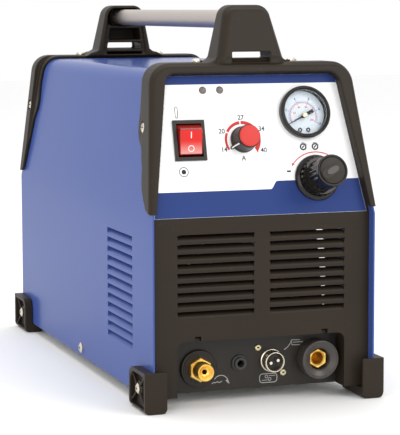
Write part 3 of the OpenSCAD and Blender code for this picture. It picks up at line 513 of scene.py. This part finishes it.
def outline_slope(points, outline, step=0.2):
    """Outward direction of an outline at points of the x, z plane."""
    gx = depth_inside(points + [step, 0], outline) - depth_inside(points - [step, 0], outline)
    gz = depth_inside(points + [0, step], outline) - depth_inside(points - [0, step], outline)
    g = -np.stack([gx, gz], axis=1)
    return g / np.maximum(np.linalg.norm(g, axis=1), 1e-9)[:, None]


def round_over(co, depth_back, outline, radius, towards):
    """Rolls the edge between an end plane and the outline's walls to a radius."""
    near = depth_back < radius
    near &= depth_back > -1
    if not near.any():
        return co
    xz = co[near][:, [0, 2]]
    wall = depth_inside(xz, outline)
    a = radius - depth_back[near]
    b = radius - wall
    length = np.hypot(a, b)
    edge = (a > 0) & (b > 0) & (length > radius)
    scale = np.where(edge, radius / np.maximum(length, 1e-9), 1)
    slope = outline_slope(xz, outline)
    shift_wall = (b * scale - b) * edge
    shift_end = (a * scale - a) * edge
    out = co.copy()
    chosen = out[near]
    chosen[:, 0] += slope[:, 0] * shift_wall
    chosen[:, 2] += slope[:, 1] * shift_wall
    chosen += np.outer(shift_end, towards)
    out[near] = chosen
    return out


def half_outline(h, top, tilt, r, low):
    t = math.radians(tilt)
    centre = h - (r + (top - r - CREASE_Z) * math.sin(t)) / math.cos(t)
    return [(h, low), (h, CREASE_Z), *arc_points(centre, top - r, r, tilt, 90, 10)]


def post_half(b, t, r):
    base = [(b + 14, BODY_TOP + 2), (b + 9, BODY_TOP + 5.2), (b + 4.5, BODY_TOP + 6.2),
            (b + 1.8, BODY_TOP + 8)]
    return base + arc_points(t - r * 0.86, POST_TOP - r, r, 10, 90, 10)


def both_sides(half):
    return half + [(-x, z) for x, z in reversed(half)]


POST_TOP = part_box("front_bezel")[1].z / MM
FRONT_RIM = both_sides(half_outline(HALF_W + 2.6, BODY_TOP + 5.2, 5.4, 17, 100))
REAR_RIM = both_sides(half_outline(HALF_W + 2.6, BODY_TOP + 3, 5.4, 15, 100))
FRONT_POST = both_sides([(39, 200), *post_half(25, 18.2, 10)])
REAR_POST = both_sides([(37, 200), *post_half(23, 17.2, 10)])


FAR = 99
FRONT_POST_BACK = 59
REAR_POST_FRONT = 365
BACKWARD = np.array([0.0, 1.0, 0.0])


def soft_front_bezel(co):
    out = np.array(PANEL_OUT)
    w = (co - np.array(PANEL_ORIGIN)) @ out
    y = co[:, 1] - FRONT_Y
    above = co[:, 2] > BODY_TOP + 9
    rolled = round_over(co, np.where(above, FAR, RIM_FACE - w), FRONT_RIM, 4.5, out)
    rolled = round_over(rolled, np.where(above, RIM_FACE - w, FAR), FRONT_POST, 6.0, out)
    return round_over(rolled, np.where(above, FRONT_POST_BACK - y, FAR), FRONT_POST, 2.5, BACKWARD)


def soft_rear_bezel(co):
    out = np.array([0.0, math.cos(REAR_LEAN), math.sin(REAR_LEAN)])
    origin = np.array([0.0, REAR_Y - INSET, CREASE_Z])
    w = (co - origin) @ out
    y = co[:, 1] - FRONT_Y
    above = co[:, 2] > BODY_TOP + 8
    rolled = round_over(co, np.where(above, FAR, RIM_FACE - w), REAR_RIM, 4.0, out)
    rolled = round_over(rolled, np.where(above, RIM_FACE - w, FAR), REAR_POST, 5.0, out)
    return round_over(rolled, np.where(above, y - REAR_POST_FRONT, FAR), REAR_POST, 2.5, -BACKWARD)


FINE = 0.6
moulded("front_bezel", FINE, 4, soft_front_bezel, keep=0.4)
moulded("rear_bezel", FINE, 4, soft_rear_bezel, keep=0.4)
for side in ("front_left", "front_right", "rear_left", "rear_right"):
    moulded("foot_" + side, 0.5, 3, keep=0.5)


# ---- printed panel ----
FILM_TOP = 0.45
INK = 0.05


def label_half_width(v):
    """Half width of the printed panel at height v up the slope."""
    foot_half, narrowing, rise = 85.6, 14.9, 102
    return foot_half - (v - 1) * narrowing / rise


def printed(name, bm, finish, w=FILM_TOP, place=None):
    return add_piece(name, bm, place or panel(0, 0, w), "housing", finish)


def header_band():
    top = [(66, 109.3), (69.8, 106)]
    right = [(label_half_width(102.6), 102.6), *top[::-1]]
    return slab(right + [(-x, v) for x, v in reversed(right)], 0, INK)


def lower_band():
    high, low, foot = 26.9, 20.7, 1.1
    step = [(label_half_width(high), high), (15.0, high), (13.8, 26.5), (12.8, 25.4), (10.4, 21.7),
            (9.2, low), (-label_half_width(low), low), (-label_half_width(foot), foot),
            (label_half_width(foot), foot)]
    return slab(step, 0, INK)


def knob_scale():
    """Red band that grows towards the largest setting, with a gap at each of two settings."""
    parts = []
    first, last, outside = KNOB_START, -35, 14.5
    tip_r, tip_turn = 15.6, math.radians(-43)
    for start, end in ((first, 156.5), (152, 97), (92.5, last)):
        steps = 40
        outer, inner = [], []
        for i in range(steps + 1):
            a = start + (end - start) * i / steps
            share = (first - a) / (first - last)
            turn = Vector((math.cos(math.radians(a)), math.sin(math.radians(a))))
            outer.append(tuple(turn * outside))
            inner.append(tuple(turn * (outside - 1.6 - 1.8 * share)))
        if end == last:
            outer.append((tip_r * math.cos(tip_turn), tip_r * math.sin(tip_turn)))
        parts.append(slab(outer + inner[::-1], 0, INK))
    return joined(parts)


def dial_numbers():
    """Numbers round the knob, placed from its centre."""
    marks = [("14", -15.6, -7.3), ("20", -16.4, 6.8), ("27", -0.2, 17.0), ("34", 15.8, 8.0),
             ("40", 16.2, -8.6), ("A", -0.5, -14.4)]
    return joined([figures(t, 5.1, INK, u, v, weight=0.075) for t, u, v in marks])


def loop_line(points, width):
    """A closed line of even width as two outlines side by side."""
    n = len(points)
    bm = bmesh.new()
    rows = []
    for i, p in enumerate(points):
        a, b, c = Vector(points[i - 1]), Vector(p), Vector(points[(i + 1) % n])
        along = (c - a).normalized()
        side = Vector((-along.y, along.x)) * width / 2
        rows.append([bm.verts.new((*(b + s * side), z)) for s in (-1, 1) for z in (0, INK)])
    for i in range(n):
        a, b = rows[i], rows[(i + 1) % n]
        for j, k in ((0, 1), (1, 3), (3, 2), (2, 0)):
            bm.faces.new((a[j], a[k], b[k], b[j]))
    return bm


def open_line(points, width):
    """An open line of even width."""
    left, right = [], []
    n = len(points)
    for i in range(n):
        a, b = Vector(points[max(0, i - 1)]), Vector(points[min(n - 1, i + 1)])
        along = (b - a).normalized()
        side = Vector((-along.y, along.x)) * width / 2
        left.append(tuple(Vector(points[i]) + side))
        right.append(tuple(Vector(points[i]) - side))
    return slab(left + right[::-1], 0, INK)


def ring_line(x, y, r, width):
    return loop_line(arc_points(x, y, r, 0, 360, 40)[:-1], width)


def disc(x, y, r, z0=0.0, z1=INK):
    return slab(arc_points(x, y, r, 0, 360, 32)[:-1], z0, z1)


def print_panel():
    printed("label_header", header_band(), FILM_BLUE)
    printed("label_lower_band", lower_band(), FILM_BLUE)
    printed("knob_scale", knob_scale(), PRINT_RED, place=panel(KNOB_U, KNOB_V, FILM_TOP))
    printed("knob_numbers", dial_numbers(), PRINT_DARK, place=panel(KNOB_U, KNOB_V, FILM_TOP))
    slot_u, off_u, off_v = -61.4, -59.4, 35.9
    slot_mark = arc_points(slot_u, 84.6, 1.0, 0, 180, 10) + arc_points(slot_u, 78.2, 1.0, 180, 360, 10)
    off_mark = [ring_line(off_u, off_v, 3.5, 0.55), disc(off_u, off_v, 1.8)]
    printed("switch_marks", joined([loop_line(slot_mark, 0.5), *off_mark]), PRINT_DARK)
    icons = []
    for u, v in ((REG_U - 8.4, REG_V + 24.5), (REG_U + 1.4, REG_V + 24.5)):
        icons += [ring_line(u, v, 2.2, 1.15), open_line(arc_points(u, v, 3.2, 20, 120, 10), 0.35),
                  open_line([(u - 0.9, v - 0.8), (u + 0.8, v + 0.9)], 1.0)]
    icons.append(open_line([(REG_U - 23.6, REG_V + 5.9), (REG_U - 20.4, REG_V + 5.9)], 1.3))
    printed("pressure_marks", joined(icons), PRINT_DARK)
    sweep = [open_line(arc_points(0.8, -3.95, 24.2, 140, 64, 40), 0.8),
             slab([(-19.2, 9.6), (-18.9, 12.4), (-16.9, 11.2)], 0, INK)]
    printed("regulator_sweep", joined(sweep), PRINT_RED, place=panel(REG_U, REG_V, FILM_TOP))


print_panel()


# ---- switch ----
FACE_REACH = 9.4


def rocker_height(v):
    """Height of the dished rocker face at v from its pivot."""
    return 6.1 + 0.5 * (abs(v) / FACE_REACH) ** 1.6


def over_rocker(bm):
    for vert in bm.verts:
        vert.co.z += rocker_height(vert.co.y)
    return bm


def rocker():
    """Clear red shell, narrower at its face than at its foot."""
    wide, rows = 9.6, 20
    line = [(-FACE_REACH + 2 * FACE_REACH * i / rows) for i in range(rows + 1)]
    skin = [(y, rocker_height(y)) for y in line]
    side = skin + [(12.1, -0.8), (8.5, -3.5), (3, -5), (-3, -5), (-8.5, -3.5), (-12.1, -0.8)]
    bm = slab(side, -wide, wide)
    rim = [e for e in bm.edges if abs(e.verts[0].co.z - e.verts[1].co.z) < 1e-6]
    bmesh.ops.bevel(bm, geom=rim, offset=0.6, segments=3, affect="EDGES", clamp_overlap=True)
    for vert in bm.verts:
        along, high, across = vert.co
        taper = 1 - 0.075 * max(0.0, min(1.0, high / 6))
        vert.co = Vector((across * taper, along, high))
    return bm


def rocker_pins():
    pins = turned([(0, -10.4), (1.4, -10.4), (1.4, 10.4), (0, 10.4)], 0.2, 32)
    return moved(pins, Matrix.Rotation(math.pi / 2, 4, "Y"))


def strips(x, y0, y1, rows=14):
    """Narrow rectangles one above the other, so that they can follow the rocker face."""
    bm = bmesh.new()
    for i in range(rows):
        low, high = y0 + (y1 - y0) * i / rows, y0 + (y1 - y0) * (i + 1) / rows
        slab([(-x, low), (x, low), (x, high), (-x, high)], 0, 0.06, bm=bm)
    return bm


def switch():
    tilt = Matrix.Rotation(math.radians(ROCKER_TILT), 4, "X")
    place = panel(SWITCH_U, SWITCH_V, -1) @ tilt
    # The shell's darker red is painted shade; the lit red is on the face strips laid over it.
    add_piece("rocker", joined([rocker(), rocker_pins()]), place, "rocker", RED_BODY_PAINTED_SHADE,
              ["switch_rocker"], smooth=40)
    add_piece("rocker_face", over_rocker(strips(8.3, -8.9, 8.9)), place, "rocker", RED_FACE)
    bar = moved(strips(0.36, 2.8, 7.6, 8), Matrix.Translation((0, 0, 0.08)))
    ring = moved(ring_line(0, -5.0, 2.2, 0.55), Matrix.Translation((0, 0, 0.1)))
    add_piece("rocker_marks", over_rocker(joined([bar, ring])), place, "rocker", PRINT_WHITE)


switch()


# ---- current knob ----
def fluted(count, depth, low, high):
    """Ripple for turned(): vertical flutes between two heights."""
    def ripple(r, z, a):
        return r - depth * (0.5 + 0.5 * math.cos(count * a)) if low <= z <= high else r
    return ripple


def knob():
    place = panel(KNOB_U, KNOB_V, 0)
    top = 15.4
    body = turned([(3.03, 1.2), (3.03, 12), (0, 12), (0, top), (8.9, top), (9.4, 3.9), (9.9, 3.6),
                   (10.3, 1.2), (6.9, 1.2), (6.9, 4.2), (3.03, 4.2)],
                  0.35, 144, ripple=fluted(24, 0.35, 4.4, top - 0.7))
    outline = eased([(0, -2.2), (12.2, -1.3), (12.8, 0), (12.2, 1.3), (0, 2.2)], 0.6)
    arm = slab(outline, 1.2, 3.6, edge=0.5)
    ridge = slab([(7.6, -1.15), (9.9, -1.15), (9.9, 1.15), (7.6, 1.15)], 3.3, top - 0.5, edge=0.4)
    turn = Matrix.Rotation(math.radians(KNOB_START), 4, "Z")
    add_piece("knob_skirt", joined([body, moved(joined([arm, ridge]), turn)]), place, "current_knob",
              SMOOTH_PLASTIC, ["knob_body"])
    line = slab([(9.6, -0.5), (12.5, -0.5), (12.5, 0.5), (9.6, 0.5)], 3.6, 3.68)
    rise = slab([(9.85, -0.5), (10.0, -0.5), (10.0, 0.5), (9.85, 0.5)], 3.6, top - 0.7)
    add_piece("knob_line", moved(joined([line, rise]), turn), place, "current_knob", PRINT_WHITE)
    cap = turned([(0, top + 0.02), (8.1, top + 0.02), (8.1, top + 1.7), (7.4, top + 2.25), (0, top + 2.3)],
                 0.4, 96)
    add_piece("knob_cap_disc", cap, place, "current_knob", CAP_RED, ["knob_cap"])


knob()


# ---- pressure gauge ----
DIAL_R = 17.2


def dial_outline(r, z, a):
    """Ripple for turned() round the hub: its outer edge is a circle round the middle of the dial."""
    if r < DIAL_R - 1:
        return r
    off = HUB_DROP
    return off * math.sin(a) + math.sqrt(r * r - (off * math.cos(a)) ** 2)


def tick(a, r0, r1, wide):
    c, s = math.cos(a), math.sin(a)
    aside = Vector((-s, c)) * wide / 2
    near, far = Vector((c * r0, s * r0)), Vector((c * r1, s * r1))
    return slab([tuple(near - aside), tuple(far - aside), tuple(far + aside), tuple(near + aside)], 0, INK)


def gauge():
    place = panel(GAUGE_U, GAUGE_V, 0)
    hub_place = panel(HUB_U, HUB_V, 0)
    case = [(3.4, -2.4), (17.3, -2.4), (17.3, 4.55), (17.4, 5.4), (17.8, 5.5), (18.2, 6.3), (18.6, 5.9),
            (19.4, 6.3), (20.0, 5.9), (20.4, 4.8), (20.4, 0.5), (18.6, 0.5), (18.6, -24),
            (7, -24), (7, -28), (4.8, -28), (4.8, -34), (3.4, -34)]
    add_piece("gauge_ring", turned(case, 0.3, 128, closed=True), place, "housing", GLOSS_BLACK,
              ["gauge_case"])
    face = turned([(1.5, -2.35), (DIAL_R, -2.35), (DIAL_R, -1.15), (1.5, -1.15)], 0.1, 96, closed=True,
                  ripple=dial_outline)
    add_piece("gauge_face", face, hub_place, "housing", DIAL, ["gauge_dial"])
    start, end = 206, -26
    outer, inner = [], [band(10.6, 10.85, start, end)]
    ticks = 50
    for i in range(ticks + 1):
        a = math.radians(start + (end - start) * i / ticks)
        large = i % 10 == 0
        outer.append(tick(a, 10.9, 13.0 if large else 12.0, 0.35 if large else 0.2))
        inner.append(tick(a, 9.2 if large else 9.8, 10.6, 0.35 if large else 0.2))
        if large:
            k = i // 10
            c, s = math.cos(a), math.sin(a)
            outer.append(figures(str(k * 2), 2.6, INK, 14.4 * c, 14.4 * s, weight=0.05))
            inner.append(figures(str(k * 30), 2.1, INK, 7.4 * c, 7.4 * s, weight=0.04))
    low_place = panel(HUB_U, HUB_V, -1.14)
    add_piece("gauge_outer_scale", joined(outer), low_place, "housing", PRINT_BLUE)
    add_piece("gauge_inner_scale", joined(inner), low_place, "housing", PRINT_RED)
    pins = []
    for u in (-3.6, 3.0):
        pin = turned([(0.8, 0), (1.7, 0), (1.7, 0.5), (0.8, 0.5)], 0.12, 28, closed=True)
        pins.append(moved(pin, Matrix.Translation((u, -12.9 + HUB_DROP, 0))))
    add_piece("gauge_stop_pins", joined(pins), low_place, "housing", PRINT_DARK)
    hub = turned([(0, 2.8), (2.2, 2.8), (2.1, 3.4), (1.2, 3.7), (0, 3.75)], 0.15, 40)
    add_piece("needle_hub", hub, hub_place, "needle", PALE_BRASS)
    lens = turned([(0, 4.6), (DIAL_R, 4.6), (DIAL_R, 5.5), (10, 5.9), (0, 6.1)], 0.2, 96)
    add_piece("gauge_window", lens, place, "housing", LENS, ["gauge_lens"])


gauge()


# ---- status lamps ----
def lamps():
    """Two low domes; above their shoulder the height is pressed down."""
    shoulder, press, lamp_v = 1.2, 0.35, 98
    dome = [(0, -4), (2.5, -4), (2.5, 0.5), (2.9, 0.5), (2.9, 0.8), (2.55, 0.9),
            *arc_points(0, 0.9, 2.4, 12, 88, 8), (0, 3.3)]
    low = [(r, z if z < shoulder else shoulder + (z - shoulder) * press) for r, z in dome]
    domes = [moved(turned(low, 0.1, 40), Matrix.Translation((u, lamp_v, 0))) for u in (-39, -25.3)]
    add_piece("status_lamps", joined(domes), panel(0, 0, 0), "housing", LED, ["led_lenses"])


lamps()


# ---- regulator ----
def regulator():
    place = panel(REG_U, REG_V, 0)
    nut = [(13.65, 0.5), (17.7, 0.5), (17.7, 2.6), (16.9, 3.7), (15.2, 4.6), (13.65, 4.7)]
    add_piece("regulator_nut", turned(nut, 0.35, 96, closed=True), place, "housing", GLOSS_BLACK,
              ["regulator_panel_nut"])
    reach = 12.2
    wall = [(reach, 12.4), (reach, 15), (reach, 20), (reach, 26), (reach, 30.2)]
    outside = [(9.5, 11.9), (reach - 0.3, 11.9), *wall, (reach - 0.2, 30.6), (reach - 0.2, 31.4),
               (reach, 31.8), (reach, 33.4), (reach - 0.5, 33.95), (reach - 1.2, 33.95),
               (reach - 1.8, 33.4), (reach - 2.4, 32.8), (4.05, 32.8), (4.05, 31)]
    inside = [(4.05, 23.5), (9.5, 23.5)]
    grip = turned(outside + inside, 0.25, 240, closed=True, ripple=fluted(20, 0.9, 12.6, 30.1))
    add_piece("regulator_grip", grip, place, "regulator_handwheel", GLOSS_BLACK,
              ["regulator_knob"])
    disc_line = [(0, 32.2), (4.0, 32.2), (4.0, 32.82), (reach - 2.3, 32.82), (reach - 2.2, 33.4),
                 (0, 33.42)]
    face = turned(disc_line, 0.1, 72)
    outline = eased([(-9.4, -3.8), (9.4, -3.8), (9.4, 3.8), (-9.4, 3.8)], 2.6, 6)
    bar = slab(outline, 33.3, 34.5, edge=0.5)
    around = [math.radians(a) for a in range(0, 360, 9)]
    # A lighter grey oval raised slightly on the cap's bar: a painted highlight where light catches the bar.
    highlight_pad = slab([(5.6 * math.cos(a), 2.4 * math.sin(a)) for a in around], 34.45, 34.75, edge=0.25)
    turn = Matrix.Rotation(math.radians(REG_BAR_TURN), 4, "Z")
    add_piece("regulator_cap", joined([face, moved(bar, turn)]), place, "regulator_handwheel", CAP_BLACK)
    # The grey oval is a painted highlight, not a separate part of the knob.
    add_piece("regulator_painted_highlight", moved(highlight_pad, turn), place, "regulator_handwheel", SOCKET_GREY)


regulator()


# ---- sockets in the recess ----
PLATE_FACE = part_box("connector_plate")[0].y / MM
TORCH, TRIGGER, EARTH, PILOT = (mount_at[n] for n in
                                ("torch_outlet", "trigger_socket", "work_lead_socket", "pilot_port"))


def at_front(mount):
    return facing(mount.x, FRONT_Y, mount.z)


def threaded(low, high, pitch, depth):
    """Ripple for turned(): a screw thread between two heights."""
    def ripple(r, z, a):
        if not low <= z <= high:
            return r
        phase = (z / pitch - a / (2 * math.pi)) % 1
        return r - depth * abs(2 * phase - 1)
    return ripple


def six_sided(least, inner=None):
    """Ripple for turned(): every radius above least becomes a hexagon with a corner at the top."""
    def ripple(r, z, a):
        if r > least:
            return r * math.cos(math.pi / 6) / math.cos((a + math.pi / 6) % (math.pi / 3) - math.pi / 6)
        return inner(r, z, a) if inner else r
    return ripple


def spaced(low, high, step):
    n = round((high - low) / step)
    return [low + (high - low) * i / n for i in range(n + 1)]


def torch_outlet():
    place = at_front(TORCH)
    flange = [(5.05, -32), (11, -32), (11, -24.95), (14.5, -24.95), (14.5, -22.9), (13.9, -22.2),
              (12.6, -22.1), (12.3, -22.4), (10.9, -22.4), (10.6, -21.95), (5.05, -21.95)]
    add_piece("torch_disc", turned(flange, 0.3, 96, closed=True), place, "housing", SMOOTH_PLASTIC,
              ["torch_flange"])
    thread = threaded(-17.0, -6.9, 1.0, 0.22)
    nipple = [(2, -44), (5, -44), (5, -37), (8.4, -37), (8.4, -32.1), (5, -32.1), (5, -21.9), (9.7, -21.9),
              (9.7, -18.0), (8.9, -17.3), (6.9, -17.3), *[(6.9, z) for z in spaced(-17.1, -6.8, 0.18)],
              (6.6, -6.2), (6.2, -5.6), (5.7, -5.6), (3.4, -8.4), (2.1, -9.0), (2, -9.4)]
    add_piece("torch_nipple", turned(nipple, 0.05, 96, closed=True, ripple=six_sided(7.6, thread)), place,
              "housing", BRASS, ["torch_fitting"])


def trigger_socket():
    place = at_front(TRIGGER)
    shell = [(7.2, -23), (7.2, -15.2), (6.9, -14.6), (7.1, -14.2), (7.6, -14.2), (8.2, -15.0),
             *[(8.2, z) for z in spaced(-15.2, -21.4, 0.14)], (8.2, -22), (8.9, -22.3), (8.9, -24.95),
             (8, -24.95), (8, -32), (6.2, -32), (6.2, -23)]
    thread = threaded(-21.3, -15.3, 0.9, 0.25)
    add_piece("trigger_collar", turned(shell, 0.1, 72, closed=True, ripple=thread), place, "housing",
              NICKEL, ["trigger_socket_shell"])
    heads, slot_shades = [], []
    screw_offset = 10.4
    for s in (-1, 1):
        at = Matrix.Translation((screw_offset * s, -screw_offset * s, 0))
        head = turned([(0, -24.95), (2.6, -24.95), (2.6, -24.2), (2.0, -23.6), (1.4, -23.5), (1.2, -24.0),
                       (0, -24.0)], 0.1, 40)
        heads.append(moved(head, at))
        # A thin dark disc and slot on the floor of each head's recess: painted shade for the depth of the screw
        # slot.
        slot_shades.append(moved(joined([disc(0, 0, 0.75, -24.0, -23.95),
                                   slab([(-1.15, -0.2), (1.15, -0.2), (1.15, 0.2), (-1.15, 0.2)],
                                        -24.0, -23.92)]), at))
    add_piece("trigger_screw_heads", joined(heads), place, "housing", PALE_BRASS,
              ["trigger_socket_screws"])
    # The dark discs and slots are painted shade in the screw recesses.
    add_piece("trigger_screw_painted_slot_shade", joined(slot_shades), place, "housing", PRINT_DARK)


def earth_socket():
    place = at_front(EARTH)
    outline = [(6.85, -28), (10, -28), (10, -24.95), (15.2, -24.95), (15.2, -15), (15.2, -13.4),
               (14.9, -12.5), (14.3, -12.2), (13.7, -12.3), (13.3, -12.9), (12.7, -13.0), (9.4, -14.6),
               (8.7, -15.1), (8.4, -16), (8.4, -23.3), (6.85, -23.3)]
    add_piece("earth_ring", turned(outline, 0.15, 144, closed=True, ripple=fluted(36, 0.25, -24.6, -15.5)),
              place, "housing", SOCKET_GREY, ["earth_socket_ring"])
    contact = [(4.65, -38), (4.65, -19.6), (5.9, -18.3), (7.2, -18.2), (7.9, -18.6), (7.9, -23.2),
               (6.8, -23.2), (6.8, -44), (0, -44), (0, -38)]
    add_piece("earth_contact", turned(contact, 0.12, 72, ripple=six_sided(7)), place, "housing", BRASS,
              ["earth_socket_contact"])


def pilot_port():
    place = at_front(PILOT)
    bush = [(2.65, -29), (4.3, -29), (4.3, -24.95), (6.5, -24.95), (6.5, -23.9), (6.0, -23.1), (5.2, -22.9),
            (4.9, -22.3), (4.8, -20.9), (4.3, -20.5), (3.2, -20.5), (2.65, -21)]
    add_piece("pilot_bush", turned(bush, 0.2, 56, closed=True), place, "housing", RUBBER,
              ["pilot_grommet"])


def recess_marks():
    """Thin printed pictograms: a torch, a two-wire plug and a clamp."""
    bold, fine = 0.55, 0.45
    torch = [open_line([(-34.7, 14.6), (-33.4, 15.6), (-31.8, 15.2), (-30.2, 16.0), (-28.6, 15.2),
                        (-26.4, 16.2)], bold),
             open_line([(-32.7, 17.9), (-30.9, 19.7), (-28.7, 20.7), (-26.2, 20.7), (-24.0, 19.8),
                        (-22.2, 18.0), (-21.2, 16.0), (-20.6, 14.2)], bold),
             slab([(-23.6, 16.6), (-21.8, 17.4), (-20.3, 13.8), (-21.4, 14.2)], 0, INK)]
    outline = eased([(4.4, 12.6), (18.8, 12.6), (18.8, 19.5), (4.4, 19.5)], 3.0, 6)
    plug = [loop_line(outline, bold), open_line([(6.2, 14.4), (11.0, 14.6)], fine),
            open_line([(12.0, 17.9), (17.2, 17.7)], fine), ring_line(12.7, 15.2, 1.15, fine),
            ring_line(10.0, 17.3, 1.1, fine)]
    clamp = [open_line([(24.8, 37.4), (28.0, 39.7), (30.1, 42.6), (30.7, 44.8), (38.0, 44.4)], bold),
             open_line([(30.7, 44.8), (31.3, 40.8), (38.0, 40.6)], bold),
             open_line([(32.2, 42.8), (40.2, 42.8)], bold)]
    add_piece("recess_marks", joined(torch + plug + clamp), facing(0, PLATE_FACE, 0), "housing", PRINT_GREY)


torch_outlet()
trigger_socket()
earth_socket()
pilot_port()
recess_marks()


# ---- camera, floor and light ----
def camera():
    data = bpy.data.cameras.new("camera")
    data.lens = 152.5
    data.sensor_width = 36
    data.clip_start, data.clip_end = 0.1, 20
    o = bpy.data.objects.new("camera", data)
    bpy.context.scene.collection.objects.link(o)
    yaw, pitch, roll = (math.radians(a) for a in (19.02, 6.51, -0.14))
    o.location = Vector((-495.2, -1284.1 + FRONT_Y, 301.2)) * MM
    look = Vector((math.sin(yaw) * math.cos(pitch), math.cos(yaw) * math.cos(pitch), -math.sin(pitch)))
    o.rotation_mode = "QUATERNION"
    o.rotation_quaternion = look.to_track_quat("-Z", "Y") @ Matrix.Rotation(roll, 3, "Z").to_quaternion()
    bpy.context.scene.camera = o


def area_light(name, place, aim, size, power, colour=(1, 1, 1)):
    data = bpy.data.lights.new(name, "AREA")
    data.shape = "RECTANGLE"
    data.size, data.size_y = size
    data.energy = power
    data.color = colour
    o = bpy.data.objects.new(name, data)
    bpy.context.scene.collection.objects.link(o)
    o.location = place
    o.rotation_mode = "QUATERNION"
    o.rotation_quaternion = (Vector(aim) - Vector(place)).to_track_quat("-Z", "Y")


def studio():
    world = bpy.data.worlds.new("studio")
    world.use_nodes = True
    back = world.node_tree.nodes["Background"]
    back.inputs["Color"].default_value = (1, 1, 1, 1)
    back.inputs["Strength"].default_value = 1.0
    bpy.context.scene.world = world
    bpy.context.scene.view_settings.view_transform = "Standard"
    middle = (0, 0, 0.14)
    area_light("key", (1.0, -1.7, 1.3), middle, (0.9, 0.9), 11, (1, 0.985, 0.96))
    area_light("fill", (-0.9, -1.8, 0.6), middle, (0.9, 1.0), 5, (1, 0.98, 0.95))
    area_light("top", (-0.1, 0.3, 1.9), middle, (1.8, 1.8), 13, (1, 0.99, 0.97))
    bm = bmesh.new()
    bmesh.ops.create_grid(bm, x_segments=2, y_segments=2, size=6)
    mesh = bpy.data.meshes.new("floor")
    bm.to_mesh(mesh)
    bm.free()
    floor = bpy.data.objects.new("floor", mesh)
    bpy.context.scene.collection.objects.link(floor)
    pale = finish_of("pale_floor", (0.97, 0.97, 0.97), 0.7, mottle=0.01, grain=(200, 0.02, 0.0001))
    mesh.materials.append(pale)


camera()
studio()
